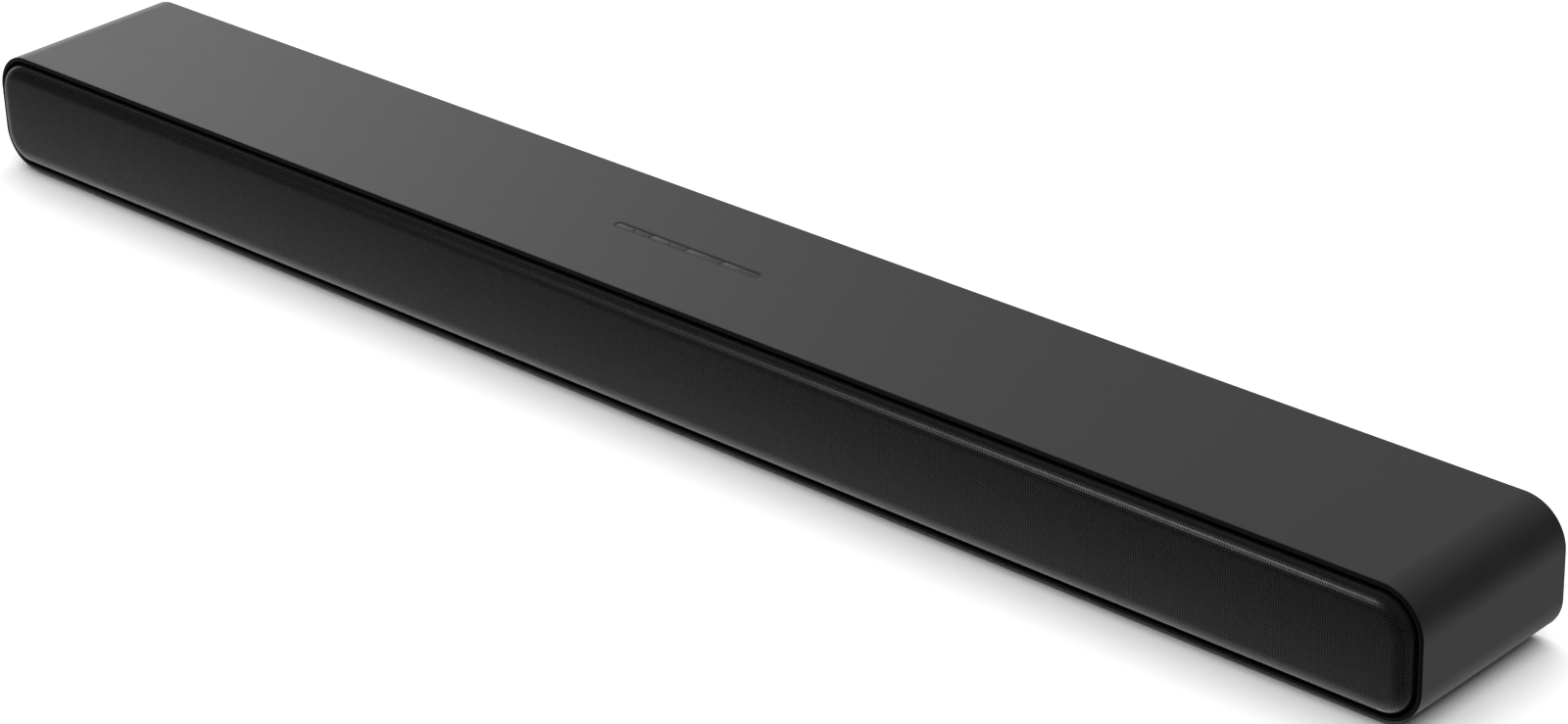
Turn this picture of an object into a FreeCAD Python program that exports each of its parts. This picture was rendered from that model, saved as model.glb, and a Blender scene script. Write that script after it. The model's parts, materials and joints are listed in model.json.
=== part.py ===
import FreeCAD, Part
import math
import os
from types import SimpleNamespace

import Sketcher

# A one-piece soundbar, in millimetres. The origin is the middle of the footprint, on the
# surface it stands on. +X runs along the bar, the grille faces -Y and +Z is up.

SIZES = {
    # case: an extruded sleeve, open at the front and the back
    "case_width": 810.0,
    "case_depth": 90.0,
    "case_height": 56.0,
    "wall": 2.0,
    "corner_top": 19.0,
    "corner_bottom": 17.0,
    "edge_round": 0.6,
    "slip": 0.1,
    # rubber feet under the sleeve
    "foot_height": 2.0,
    "foot_length": 46.0,
    "foot_width": 10.0,
    "foot_end_inset": 72.0,
    "foot_side_inset": 15.0,
    # grille pan, its cloth and the frame behind it
    "groove": 1.6,
    "grille_proud": 4.1,
    "grille_depth": 11.1,
    "grille_roll": 6.0,
    "grille_steel": 0.8,
    "cloth_thick": 0.4,
    "cloth_gap": 0.1,
    "frame_depth": 5.0,
    "frame_ledge": 2.0,
    "baffle_thick": 6.0,
    # rear panel
    "rear_setback": 2.0,
    "rear_thick": 3.0,
    "bulkhead_place": 165.0,
    "bulkhead_thick": 6.0,
    "post_radius": 4.0,
    "post_end_inset": 24.0,
    "post_spread": 26.0,
    # control strip in the roof of the sleeve
    "strip_length": 84.0,
    "strip_width": 5.2,
    "strip_recess": 0.05,
    "bezel_wall": 0.6,
    "bezel_height": 5.0,
    "bezel_flange": 4.0,
    "bezel_flange_thick": 1.2,
    "key_gap": 0.2,
    "key_recess": 0.05,
    "key_travel": 0.5,
    "key_flange_thick": 0.8,
    "key_board_thick": 1.2,
    "switch_side": 4.5,
    "switch_height": 2.4,
    # racetrack woofers
    "woofer_place": 262.0,
    "woofer_length": 92.0,
    "woofer_margin": 7.0,
    "woofer_rim": 5.0,
    "woofer_flange_thick": 2.5,
    "gasket_thick": 0.8,
    "basket_wall": 1.6,
    "basket_depth": 22.0,
    "basket_gap": 0.5,
    "basket_lip": 0.8,
    "surround_width": 5.0,
    "surround_thick": 1.6,
    "cone_thick": 1.2,
    "cone_gap": 0.3,
    "cone_travel": 3.0,
    "coil_radius": 10.6,
    "coil_wall": 0.8,
    "magnet_radius": 17.0,
    "magnet_depth": 10.0,
    "yoke_thick": 3.0,
    "dust_cap_rise": 2.0,
    # tweeters
    "tweeter_place": 352.0,
    "tweeter_radius": 17.0,
    "tweeter_flange_thick": 2.5,
    "tweeter_cup_radius": 13.5,
    "tweeter_cup_depth": 14.0,
    "dome_radius": 9.5,
    "dome_gap": 0.4,
    "dome_rise": 4.0,
    "dome_skirt": 5.0,
    "dome_wall": 0.6,
    # screws, inserts
    "screw_radius": 1.3,
    "screw_length": 9.0,
    "screw_head_radius": 2.6,
    "screw_head_height": 1.2,
    "screw_play": 0.2,
    "insert_place": 220.0,
    "insert_raise": 6.0,
    "insert_radius": 3.2,
    "insert_bore": 1.75,
    "insert_length": 8.0,
    "insert_boss": 5.4,
    # connector bay and circuit boards
    "bay_width": 168.0,
    "bay_height": 30.0,
    "bay_depth": 18.0,
    "bay_wall": 1.6,
    "board_thick": 1.6,
    "board_raise": 15.0,
    "board_front": -22.0,
    "board_play": 0.5,
    "board_split": -24.0,
    "board_gap": 3.0,
    "tray_thick": 2.0,
    "tray_post": 3.0,
    "tray_inset": 7.0,
    "socket_proud": 0.8,
    # indicator and remote receiver behind the grille
    "lamp_place": 8.0,
    "lens_radius": 1.6,
    "receiver_radius": 3.0,
    "window_play": 0.2,
    "lamp_board_width": 40.0,
    "lamp_board_height": 14.0,
    # sockets in the connector bay: place along the bar, outer size, wall and mouth depth
    "inlet_place": -56.0,
    "inlet_width": 24.0,
    "inlet_height": 16.0,
    "inlet_depth": 22.0,
    "inlet_mouth_width": 16.2,
    "inlet_mouth_height": 9.4,
    "inlet_mouth_depth": 15.0,
    "pin_radius": 1.2,
    "pin_spread": 8.6,
    "pin_length": 11.0,
    "video_place": -8.0,
    "video_width": 15.2,
    "video_height": 6.4,
    "video_depth": 13.0,
    "video_wall": 0.6,
    "video_mouth_depth": 11.0,
    "video_tongue_width": 10.6,
    "video_tongue_thick": 1.2,
    "video_tongue_length": 9.0,
    "service_place": 16.0,
    "service_width": 14.6,
    "service_height": 7.4,
    "service_depth": 15.0,
    "service_wall": 0.8,
    "service_mouth_depth": 13.0,
    "service_tongue_width": 11.0,
    "service_tongue_thick": 1.8,
    "service_tongue_length": 11.0,
    "optical_place": 39.0,
    "optical_width": 10.0,
    "optical_height": 10.4,
    "optical_depth": 14.0,
    "optical_wall": 1.0,
    "optical_mouth_depth": 10.0,
    "jack_place": 62.0,
    "jack_width": 9.0,
    "jack_height": 9.0,
    "jack_depth": 14.0,
    "jack_bore": 1.8,
    "jack_bore_depth": 12.0,
    # parts on the circuit boards: place along the bar, place in depth, width, depth, height
    "processor_place": 14.0,
    "processor_back": -8.0,
    "processor_side": 16.0,
    "processor_height": 1.4,
    "radio_place": 62.0,
    "radio_back": -10.0,
    "radio_width": 20.0,
    "radio_side": 15.0,
    "radio_height": 2.6,
    "amplifier_place": 38.0,
    "amplifier_back": -8.0,
    "amplifier_side": 12.0,
    "amplifier_height": 1.4,
    "sink_width": 22.0,
    "sink_side": 20.0,
    "sink_height": 12.0,
    "sink_base": 2.5,
    "sink_fin": 1.2,
    "sink_fins": 6.0,
    "core_place": -46.0,
    "core_back": -11.0,
    "core_width": 24.0,
    "core_side": 18.0,
    "core_height": 19.0,
    "can_place": -74.0,
    "can_back": -10.0,
    "can_pitch": 14.0,
    "can_radius": 5.5,
    "can_height": 18.0,
    # wadding in the speaker chambers, and the blank rating label
    "wadding_width": 96.0,
    "wadding_thick": 22.0,
    "wadding_gap": 3.0,
    "label_left": 96.0,
    "label_width": 52.0,
    "label_height": 24.0,
    "label_thick": 0.2,
}

# Angles of a corner's arc, in degrees, and the names Sketcher gives to points.
QUARTER_TURN = 90.0
HALF_TURN = 180.0
START, END, CENTRE = 1, 2, 3
AXES, ORIGIN = -1, 1
# Plane that a sketch lies on for each pad direction, and the side its normal points to.
PLANES = {"X": ("YZ_Plane", 1), "Y": ("XZ_Plane", -1), "Z": ("XY_Plane", 1)}
ALONG_Y = FreeCAD.Rotation(FreeCAD.Vector(1, 0, 0), -QUARTER_TURN)
ALONG_Z = FreeCAD.Rotation()
DIAGONAL = math.sqrt(0.5)
NEAR = 1e-6
SIDES = (("left", -1), ("right", 1))

doc = FreeCAD.newDocument("soundbar")
nodes = []


class Size:
    """A length that knows its number and the sheet expression that drives it."""

    def __init__(self, number, text):
        self.number = float(number)
        self.text = text

    def __neg__(self):
        return Size(-self.number, "(-%s)" % self.text)

    def __add__(self, other):
        other = as_size(other)
        return Size(self.number + other.number, "(%s + %s)" % (self.text, other.text))

    def __sub__(self, other):
        other = as_size(other)
        return Size(self.number - other.number, "(%s - %s)" % (self.text, other.text))

    def __mul__(self, other):
        other = as_size(other)
        return Size(self.number * other.number, "(%s * %s)" % (self.text, other.text))

    def __truediv__(self, other):
        other = as_size(other)
        return Size(self.number / other.number, "(%s / %s)" % (self.text, other.text))

    __radd__ = __add__
    __rmul__ = __mul__


def as_size(value):
    return value if isinstance(value, Size) else Size(value, "(%.6f)" % value)


def write_sheet():
    """Write every driving size into the sheet, and return them as Size objects."""
    sheet = doc.addObject("Spreadsheet::Sheet", "Sizes")
    for row, (alias, value) in enumerate(SIZES.items(), start=1):
        sheet.set("A%d" % row, alias)
        sheet.set("B%d" % row, str(value))
        sheet.setAlias("B%d" % row, alias)
    doc.recompute()
    return SimpleNamespace(**{alias: Size(value, "Sizes." + alias) for alias, value in SIZES.items()})


def bind(thing, path, size):
    thing.setExpression(path, as_size(size).text)


def keep(thing):
    """Count an object as one of the soundbar's pieces."""
    nodes.append(thing)
    return thing


# ---- outlines, drawn into a sketch -----------------------------------------------------


def fix(sketch, kind, size, *points):
    """Add a dimension to a sketch and drive it from the sheet."""
    size = as_size(size)
    index = sketch.addConstraint(Sketcher.Constraint(kind, *points, size.number))
    sketch.setExpression("Constraints[%d]" % index, size.text)


def fix_point(sketch, geometry, point, across, up):
    fix(sketch, "DistanceX", across, AXES, ORIGIN, geometry, point)
    fix(sketch, "DistanceY", up, AXES, ORIGIN, geometry, point)


def draw_arcs(sketch, corners, turn):
    """Draw arcs (across, up, radius, start angle) and the tangent lines that join them."""
    arcs = []
    for across, up, radius, start in corners:
        centre = FreeCAD.Vector(across.number, up.number, 0)
        circle = Part.Circle(centre, FreeCAD.Vector(0, 0, 1), radius.number)
        arc = Part.ArcOfCircle(circle, math.radians(start), math.radians(start + turn))
        index = sketch.addGeometry(arc, False)
        fix_point(sketch, index, CENTRE, across, up)
        fix(sketch, "Radius", radius, index)
        arcs.append((index, arc))
    for (first, before), (second, after) in zip(arcs, arcs[1:] + arcs[:1]):
        line = sketch.addGeometry(Part.LineSegment(before.EndPoint, after.StartPoint), False)
        sketch.addConstraint(Sketcher.Constraint("Tangent", first, END, line, START))
        sketch.addConstraint(Sketcher.Constraint("Tangent", line, END, second, START))


def rounded(left, right, bottom, top, low_radius, high_radius):
    """A rectangle with one radius on its lower corners and one on its upper corners."""

    def draw(sketch):
        corners = (
            (right - high_radius, top - high_radius, high_radius, 0),
            (left + high_radius, top - high_radius, high_radius, QUARTER_TURN),
            (left + low_radius, bottom + low_radius, low_radius, 2 * QUARTER_TURN),
            (right - low_radius, bottom + low_radius, low_radius, 3 * QUARTER_TURN),
        )
        draw_arcs(sketch, corners, QUARTER_TURN)

    return draw


def stadium(across, up, length, width):
    """A straight-sided oval, long across."""

    def draw(sketch):
        radius = as_size(width) / 2
        reach = (as_size(length) - width) / 2
        corners = (
            (as_size(across) + reach, as_size(up), radius, -QUARTER_TURN),
            (as_size(across) - reach, as_size(up), radius, QUARTER_TURN),
        )
        draw_arcs(sketch, corners, HALF_TURN)

    return draw


def disc(across, up, radius):
    """A circle."""

    def draw(sketch):
        centre = FreeCAD.Vector(as_size(across).number, as_size(up).number, 0)
        circle = Part.Circle(centre, FreeCAD.Vector(0, 0, 1), as_size(radius).number)
        index = sketch.addGeometry(circle, False)
        fix_point(sketch, index, CENTRE, across, up)
        fix(sketch, "Radius", radius, index)

    return draw


def oblong(left, right, bottom, top):
    """A rectangle with square corners."""

    def draw(sketch):
        sides = [as_size(side) for side in (left, right, bottom, top)]
        low_x, high_x, low_y, high_y = (side.number for side in sides)
        spots = [
            FreeCAD.Vector(low_x, low_y, 0),
            FreeCAD.Vector(high_x, low_y, 0),
            FreeCAD.Vector(high_x, high_y, 0),
            FreeCAD.Vector(low_x, high_y, 0),
        ]
        pairs = zip(spots, spots[1:] + spots[:1])
        lines = [sketch.addGeometry(Part.LineSegment(a, b), False) for a, b in pairs]
        for first, second in zip(lines, lines[1:] + lines[:1]):
            sketch.addConstraint(Sketcher.Constraint("Coincident", first, END, second, START))
        for line, kind in zip(lines, ("Horizontal", "Vertical", "Horizontal", "Vertical")):
            sketch.addConstraint(Sketcher.Constraint(kind, line))
        fix_point(sketch, lines[0], START, left, bottom)
        fix_point(sketch, lines[2], START, right, top)

    return draw


# ---- solids ----------------------------------------------------------------------------


def prism(label, axis, low, high, *outlines):
    """A body padded along an axis from low to high. Outlines inside another are holes."""
    body = doc.addObject("PartDesign::Body", label)
    role, side = PLANES[axis]
    plane = next(item for item in body.Origin.OriginFeatures if item.Role == role)
    sketch = body.newObject("Sketcher::SketchObject", label + "_outline")
    sketch.AttachmentSupport = (plane, [""])
    sketch.MapMode = "FlatFace"
    for draw in outlines:
        draw(sketch)
    bind(sketch, "AttachmentOffset.Base.z", as_size(low) * side)
    pad = body.newObject("PartDesign::Pad", label + "_pad")
    pad.Profile = sketch
    pad.Reversed = side < 0
    bind(pad, "Length", as_size(high) - low)
    body.Tip = pad
    return body


def slab(label, left, right, front, back, bottom, top):
    """A box between two values on each axis."""
    box = doc.addObject("Part::Box", label)
    bind(box, "Length", as_size(right) - left)
    bind(box, "Width", as_size(back) - front)
    bind(box, "Height", as_size(top) - bottom)
    for axis, low in zip("xyz", (left, front, bottom)):
        bind(box, "Placement.Base." + axis, low)
    return box


def rod(label, radius, across, up, front, back):
    """A cylinder along the depth."""
    return cylinder(label, radius, as_size(back) - front, ALONG_Y, (across, front, up))


def post(label, radius, across, depth, bottom, top):
    """An upright cylinder."""
    return cylinder(label, radius, as_size(top) - bottom, ALONG_Z, (across, depth, bottom))


def cylinder(label, radius, length, turn, base):
    item = doc.addObject("Part::Cylinder", label)
    item.Placement = FreeCAD.Placement(FreeCAD.Vector(), turn)
    bind(item, "Radius", radius)
    bind(item, "Height", length)
    for axis, value in zip("xyz", base):
        bind(item, "Placement.Base." + axis, value)
    return item


def join(label, *shapes):
    result = doc.addObject("Part::MultiFuse", label)
    result.Shapes = list(shapes)
    return result


def cut(label, base, *tools):
    result = doc.addObject("Part::Cut", label)
    result.Base = base
    result.Tool = tools[0] if len(tools) == 1 else join(label + "_tools", *tools)
    return result


def group(label, shapes):
    """Identical loose pieces that share one node."""
    result = doc.addObject("Part::Compound", label)
    result.Links = list(shapes)
    return result


def rim_names(feature, depth):
    """Names of the edges round the flat face that lies at a depth."""
    shape = feature.Shape
    across = [face for face in shape.Faces if abs(face.BoundBox.YMin - depth.number) < NEAR]
    flat = [face for face in across if face.BoundBox.YLength < NEAR]
    rims = [edge for face in flat for edge in face.OuterWire.Edges]
    found = [any(edge.isSame(rim) for rim in rims) for edge in shape.Edges]
    return ["Edge%d" % (index + 1) for index, hit in enumerate(found) if hit]


def face_names(feature, depth):
    """Names of the flat faces at a depth."""
    boxes = [face.BoundBox for face in feature.Shape.Faces]
    hits = [box.YLength < NEAR and abs(box.YMin - depth.number) < NEAR for box in boxes]
    return ["Face%d" % (index + 1) for index, hit in enumerate(hits) if hit]


def round_rims(body, radius, *depths):
    """Round the outer edges of a body at each depth."""
    doc.recompute()
    base = body.Tip
    names = [name for depth in depths for name in rim_names(base, depth)]
    fillet = body.newObject("PartDesign::Fillet", body.Name + "_round")
    fillet.Base = (base, names)
    bind(fillet, "Radius", radius)
    body.Tip = fillet
    return body


def hollow(body, thickness, depth):
    """Turn a body into a pan of one thickness, open at a depth."""
    doc.recompute()
    base = body.Tip
    shell = body.newObject("PartDesign::Thickness", body.Name + "_shell")
    shell.Base = (base, face_names(base, depth))
    shell.Reversed = True
    bind(shell, "Value", thickness)
    body.Tip = shell
    return body


s = write_sheet()

# ---- shared places ---------------------------------------------------------------------

floor_z = s.foot_height
roof_z = s.foot_height + s.case_height
mid_z = s.foot_height + s.case_height / 2
front_y = s.case_depth / -2
back_y = s.case_depth / 2
grille_front = front_y - s.grille_proud
grille_back = grille_front + s.grille_depth
frame_back = grille_back + s.frame_depth
baffle_back = frame_back + s.baffle_thick
rear_face = back_y - s.rear_setback
rear_inner = rear_face - s.rear_thick
bay_floor = rear_face - s.bay_depth
bay_inner = bay_floor - s.bay_wall
ceiling_z = roof_z - s.wall
deck_z = floor_z + s.wall
inner_inset = s.wall + s.slip
screw_hole = s.screw_radius + s.screw_play
pilot_hole = s.screw_radius + s.slip
woofer_height = s.case_height - s.woofer_margin * 2


def case_outline(inset):
    """The sleeve's outline, moved inwards."""
    half = s.case_width / 2 - inset
    radii = (s.corner_bottom - inset, s.corner_top - inset)
    return rounded(-half, half, floor_z + inset, roof_z - inset, *radii)


def grille_outline(inset):
    return case_outline(s.wall + s.groove + inset)


def screw(label, across, up, seat, faces_back):
    """A pan-head screw along the depth. Its head lies behind the seat, or in front of it."""
    head = (seat, seat + s.screw_head_height) if faces_back else (seat - s.screw_head_height, seat)
    shank = (seat - s.screw_length, seat) if faces_back else (seat, seat + s.screw_length)
    top = rod(label + "_head", s.screw_head_radius, across, up, *head)
    thread = rod(label + "_shank", s.screw_radius, across, up, *shank)
    return join(label, top, thread)


def rear_screw_spots():
    """The rear panel's screws: two into each bulkhead, two into the posts at each end."""
    end = s.case_width / 2 - s.post_end_inset
    rise = s.post_spread / 2
    places = (-end, -s.bulkhead_place, s.bulkhead_place, end)
    return [(across, mid_z + rise * up) for across in places for up in (-1, 1)]


def end_post_spots():
    spots = rear_screw_spots()
    return spots[:2] + spots[-2:]


def woofer_screw_spots(place):
    """Four screws half-way across a woofer's rim, on the diagonals of its round ends."""
    reach = (s.woofer_length - woofer_height) / 2
    circle = (woofer_height - s.woofer_rim) / 2 * DIAGONAL
    corners = [(side, up) for side in (-1, 1) for up in (-1, 1)]
    return [(place + (reach + circle) * side, mid_z + circle * up) for side, up in corners]


def woofer_oval(place, inset):
    """A woofer's racetrack outline, moved inwards."""
    inset = as_size(inset)
    return stadium(place, mid_z, s.woofer_length - inset * 2, woofer_height - inset * 2)


def make_case():
    """The sleeve, with the control strip's opening in its roof."""
    sleeve = prism("sleeve", "Y", front_y, back_y, case_outline(0), case_outline(s.wall))
    round_rims(sleeve, s.edge_round, front_y, back_y)
    reach = (ceiling_z - s.wall, roof_z + s.wall)
    opening = prism("strip_opening", "Z", *reach, stadium(0, 0, s.strip_length, s.strip_width))
    keep(cut("wrap_cover", sleeve, opening))


def make_feet():
    reach = s.case_width / 2 - s.foot_end_inset
    inset = s.case_depth / 2 - s.foot_side_inset
    for side, along in SIDES:
        for end, across in (("front", -1), ("back", 1)):
            pad = stadium(reach * along, inset * across, s.foot_length, s.foot_width)
            keep(prism("foot_%s_%s" % (end, side), "Z", 0, floor_z, pad))


def make_front():
    """The grille pan, the cloth inside it and the frame it stands on."""
    grille = prism("grille", "Y", grille_front, grille_back, grille_outline(0))
    round_rims(grille, s.grille_roll, grille_front)
    keep(hollow(grille, s.grille_steel, grille_back))
    cloth_front = grille_front + s.grille_steel + s.cloth_gap
    cloth = grille_outline(s.grille_roll)
    keep(prism("grille_cloth", "Y", cloth_front, cloth_front + s.cloth_thick, cloth))
    hole = grille_outline(s.frame_ledge)
    keep(prism("front_frame", "Y", grille_back, frame_back, case_outline(inner_inset), hole))


def make_baffle():
    """The board that carries the drivers, with four posts that reach the rear panel."""
    holes = [case_outline(inner_inset)]
    for _, side in SIDES:
        place = s.woofer_place * side
        holes.append(woofer_oval(place, s.woofer_rim))
        holes.append(disc(s.tweeter_place * side, mid_z, s.tweeter_cup_radius + s.window_play))
        holes.extend(disc(x, z, pilot_hole) for x, z in woofer_screw_spots(place))
    holes.append(disc(-s.lamp_place, mid_z, s.lens_radius + s.window_play))
    holes.append(disc(s.lamp_place, mid_z, s.receiver_radius + s.window_play))
    board = prism("baffle_board", "Y", frame_back, baffle_back, *holes)
    posts = []
    pilots = []
    for number, (x, z) in enumerate(end_post_spots()):
        posts.append(rod("post_%d" % number, s.post_radius, x, z, baffle_back, rear_inner))
        low = rear_face - s.screw_length - s.wall
        pilots.append(rod("post_pilot_%d" % number, pilot_hole, x, z, low, rear_inner))
    keep(cut("baffle", join("baffle_with_posts", board, *posts), *pilots))


def make_cap(label, place, base, radius, rise, wall):
    """A thin spherical cap that stands forward of its base by its rise."""
    sphere_radius = (radius * radius + rise * rise) / (rise * 2)
    solids = []
    for name, size in (("outer", sphere_radius), ("inner", sphere_radius - wall)):
        ball = doc.addObject("Part::Sphere", label + "_" + name)
        bind(ball, "Radius", size)
        for axis, value in zip("xyz", (place, base + sphere_radius - rise, mid_z)):
            bind(ball, "Placement.Base." + axis, value)
        solids.append(ball)
    reach = (place - radius * 2, place + radius * 2)
    block = slab(label + "_block", *reach, base - rise * 2, base, mid_z - radius * 2, mid_z + radius * 2)
    shell = cut(label + "_shell", solids[0], solids[1])
    cap = doc.addObject("Part::Common", label)
    cap.Base = shell
    cap.Tool = block
    return cap


def tube(label, outer, inner, place, front, back):
    return prism(label, "Y", front, back, disc(place, mid_z, outer), disc(place, mid_z, inner))


def make_woofer(side, place):
    """A racetrack woofer: gasket, basket, motor, surround and the diaphragm that moves."""
    gasket_front = frame_back - s.gasket_thick
    flange_front = gasket_front - s.woofer_flange_thick
    floor_back = gasket_front + s.basket_depth
    floor_front = floor_back - s.basket_wall
    yoke_front = floor_back + s.magnet_depth
    holes = [disc(x, z, screw_hole) for x, z in woofer_screw_spots(place)]
    rims = (woofer_oval(place, 0), woofer_oval(place, s.woofer_rim))
    keep(prism("gasket_" + side, "Y", gasket_front, frame_back, *rims, *holes))

    flange = prism("flange_" + side, "Y", flange_front, gasket_front, *rims, *holes)
    outer = s.woofer_rim + s.basket_gap
    shape = (woofer_oval(place, outer), woofer_oval(place, outer + s.basket_wall))
    lip_front = gasket_front - s.basket_lip
    wall = prism("basket_wall_" + side, "Y", lip_front, floor_back, *shape)
    lip = (woofer_oval(place, s.woofer_rim - s.basket_gap), woofer_oval(place, outer + s.basket_wall))
    seat = prism("basket_lip_" + side, "Y", lip_front, gasket_front, *lip)
    throat = disc(place, mid_z, s.coil_radius + s.coil_wall)
    floor = prism("basket_floor_" + side, "Y", floor_front, floor_back, woofer_oval(place, outer), throat)
    keep(join("woofer_basket_" + side, flange, seat, wall, floor))

    yoke = rod("yoke_" + side, s.magnet_radius, place, mid_z, yoke_front, yoke_front + s.yoke_thick)
    inner = s.coil_radius + s.coil_wall
    ring = tube("magnet_ring_" + side, s.magnet_radius, inner, place, floor_back, yoke_front)
    pole_radius = s.coil_radius - s.coil_wall * 2
    pole = rod("pole_" + side, pole_radius, place, mid_z, floor_front, yoke_front)
    keep(join("woofer_motor_" + side, yoke, ring, pole))

    edge = s.woofer_rim + s.slip
    band = (woofer_oval(place, edge), woofer_oval(place, s.woofer_rim + s.surround_width))
    surround_back = flange_front + s.surround_thick
    keep(prism("woofer_surround_" + side, "Y", flange_front, surround_back, *band))

    cone_edge = woofer_oval(place, s.woofer_rim + s.surround_width + s.cone_gap)
    cone_back = flange_front + s.cone_thick
    plate = prism("cone_plate_" + side, "Y", flange_front, cone_back, cone_edge)
    coil_end = yoke_front - s.cone_travel - s.coil_wall
    coil_inner = s.coil_radius - s.coil_wall
    coil = tube("voice_coil_" + side, s.coil_radius, coil_inner, place, flange_front, coil_end)
    sizes = (s.coil_radius, s.dust_cap_rise, s.coil_wall)
    cap = make_cap("dust_cap_" + side, place, flange_front, *sizes)
    keep(join("woofer_cone_" + side, plate, coil, cap))


def make_tweeter(side, place):
    """A small dome tweeter: a housing with its magnet, and the dome that moves."""
    flange_front = frame_back - s.tweeter_flange_thick
    cup_back = frame_back + s.tweeter_cup_depth
    mouth = s.dome_radius + s.dome_gap
    flange = tube("tweeter_flange_" + side, s.tweeter_radius, mouth, place, flange_front, frame_back)
    cup_inner = s.tweeter_cup_radius - s.basket_wall
    cup = tube("tweeter_cup_" + side, s.tweeter_cup_radius, cup_inner, place, flange_front, cup_back)
    floor_front = cup_back - s.basket_wall
    floor = rod("tweeter_floor_" + side, s.tweeter_cup_radius, place, mid_z, floor_front, cup_back)
    slug_radius = s.dome_radius - s.dome_wall - s.dome_gap
    slug = rod("tweeter_slug_" + side, slug_radius, place, mid_z, frame_back, cup_back)
    keep(join("tweeter_housing_" + side, flange, cup, floor, slug))

    inner = s.dome_radius - s.dome_wall
    skirt_back = flange_front + s.dome_skirt
    skirt = tube("dome_skirt_" + side, s.dome_radius, inner, place, flange_front, skirt_back)
    cap = make_cap("dome_cap_" + side, place, flange_front, s.dome_radius, s.dome_rise, s.dome_wall)
    keep(join("tweeter_dome_" + side, skirt, cap))


def make_bulkhead(side, sign):
    """A wall between a speaker chamber and the electronics, with the rear screws' holes."""
    place = s.bulkhead_place * sign
    half = s.bulkhead_thick / 2
    reach = (place - half, place + half, baffle_back, rear_inner, deck_z, ceiling_z)
    wall = slab("bulkhead_wall_" + side, *reach)
    low = rear_face - s.screw_length - s.wall
    spots = [spot for spot in rear_screw_spots() if abs(spot[0].number - place.number) < NEAR]
    pilots = []
    for number, (x, z) in enumerate(spots):
        pilots.append(rod("bulkhead_pilot_%s_%d" % (side, number), pilot_hole, x, z, low, rear_inner))
    keep(cut("bulkhead_" + side, wall, *pilots))


def make_wadding(side, place):
    """A soft pad behind each woofer."""
    front = frame_back - s.gasket_thick + s.basket_depth + s.magnet_depth + s.yoke_thick + s.wadding_gap
    half = s.wadding_width / 2
    gap = s.wadding_gap
    reach = (place - half, place + half, front, front + s.wadding_thick)
    keep(slab("wadding_" + side, *reach, deck_z + gap, ceiling_z - gap))


def insert_spots():
    return [(s.insert_place * side, mid_z + s.insert_raise) for _, side in SIDES]


def bay_half():
    return s.bay_width / 2, s.bay_height / 2


def make_rear_panel():
    """The rear panel, with bosses for the threaded wall-mount inserts."""
    across, up = bay_half()
    holes = [oblong(-across, across, mid_z - up, mid_z + up)]
    holes.extend(disc(x, z, screw_hole) for x, z in rear_screw_spots())
    panel = prism("rear_plate", "Y", rear_inner, rear_face, case_outline(inner_inset), *holes)
    low = rear_face - s.insert_length
    bosses = []
    bores = []
    for number, (x, z) in enumerate(insert_spots()):
        bosses.append(rod("insert_boss_%d" % number, s.insert_boss, x, z, low, rear_inner))
        bores.append(rod("insert_seat_%d" % number, s.insert_radius + s.slip, x, z, low, rear_face))
    keep(cut("rear_panel", join("rear_plate_with_bosses", panel, *bosses), *bores))
    pairs = []
    for number, (x, z) in enumerate(insert_spots()):
        sleeve = (disc(x, z, s.insert_radius), disc(x, z, s.insert_bore))
        pairs.append(prism("insert_%d" % number, "Y", low, rear_face, *sleeve))
    keep(group("wall_inserts", pairs))


def make_screws():
    rear = []
    for number, (x, z) in enumerate(rear_screw_spots()):
        rear.append(screw("rear_screw_%d" % number, x, z, rear_face, True))
    keep(group("rear_screws", rear))
    front = []
    seat = frame_back - s.gasket_thick - s.woofer_flange_thick
    for side, sign in SIDES:
        for number, (x, z) in enumerate(woofer_screw_spots(s.woofer_place * sign)):
            front.append(screw("woofer_screw_%s_%d" % (side, number), x, z, seat, False))
    keep(group("woofer_screws", front))


# ---- connector bay and its sockets -----------------------------------------------------

board_low = deck_z + s.board_raise
board_top = board_low + s.board_thick
SOCKETS = ("inlet", "video", "service", "optical", "jack")


def of(name, key):
    """One of a named part's own sizes."""
    return getattr(s, name + "_" + key)


def socket_reach(name, play):
    """A socket's outer faces along the bar and in height, moved out by some play."""
    half = of(name, "width") / 2
    place = of(name, "place")
    reach = (place - half - play, place + half + play)
    return reach, (board_top - play, board_top + of(name, "height") + play)


def make_bay():
    """A shallow tub in the rear panel that holds the sockets."""
    across, up = bay_half()
    wall = s.bay_wall
    outer = slab("bay_outer", -across, across, bay_inner, rear_face, mid_z - up, mid_z + up)
    reach = (wall - across, across - wall, bay_floor, rear_face + wall)
    inner = slab("bay_inner", *reach, mid_z - up + wall, mid_z + up - wall)
    windows = []
    for name in SOCKETS:
        (left, right), (bottom, top) = socket_reach(name, s.slip)
        window = (left, right, bay_inner - wall, bay_floor + wall, bottom, top)
        windows.append(slab(name + "_window", *window))
    keep(cut("connector_bay", outer, inner, *windows))


def socket_shell(name):
    """A socket's outer block, standing on its board and a little proud of the bay's floor."""
    (left, right), (bottom, top) = socket_reach(name, 0)
    back = bay_floor + s.socket_proud
    return slab(name + "_block", left, right, back - of(name, "depth"), back, bottom, top)


def make_walled_socket(name, label):
    """A socket with an even wall round a rectangular mouth."""
    (left, right), (bottom, top) = socket_reach(name, -of(name, "wall"))
    back = bay_floor + s.socket_proud
    mouth_back = back + s.socket_proud
    mouth_front = back - of(name, "mouth_depth")
    mouth = slab(name + "_mouth", left, right, mouth_front, mouth_back, bottom, top)
    return cut(label, socket_shell(name), mouth)


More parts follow.
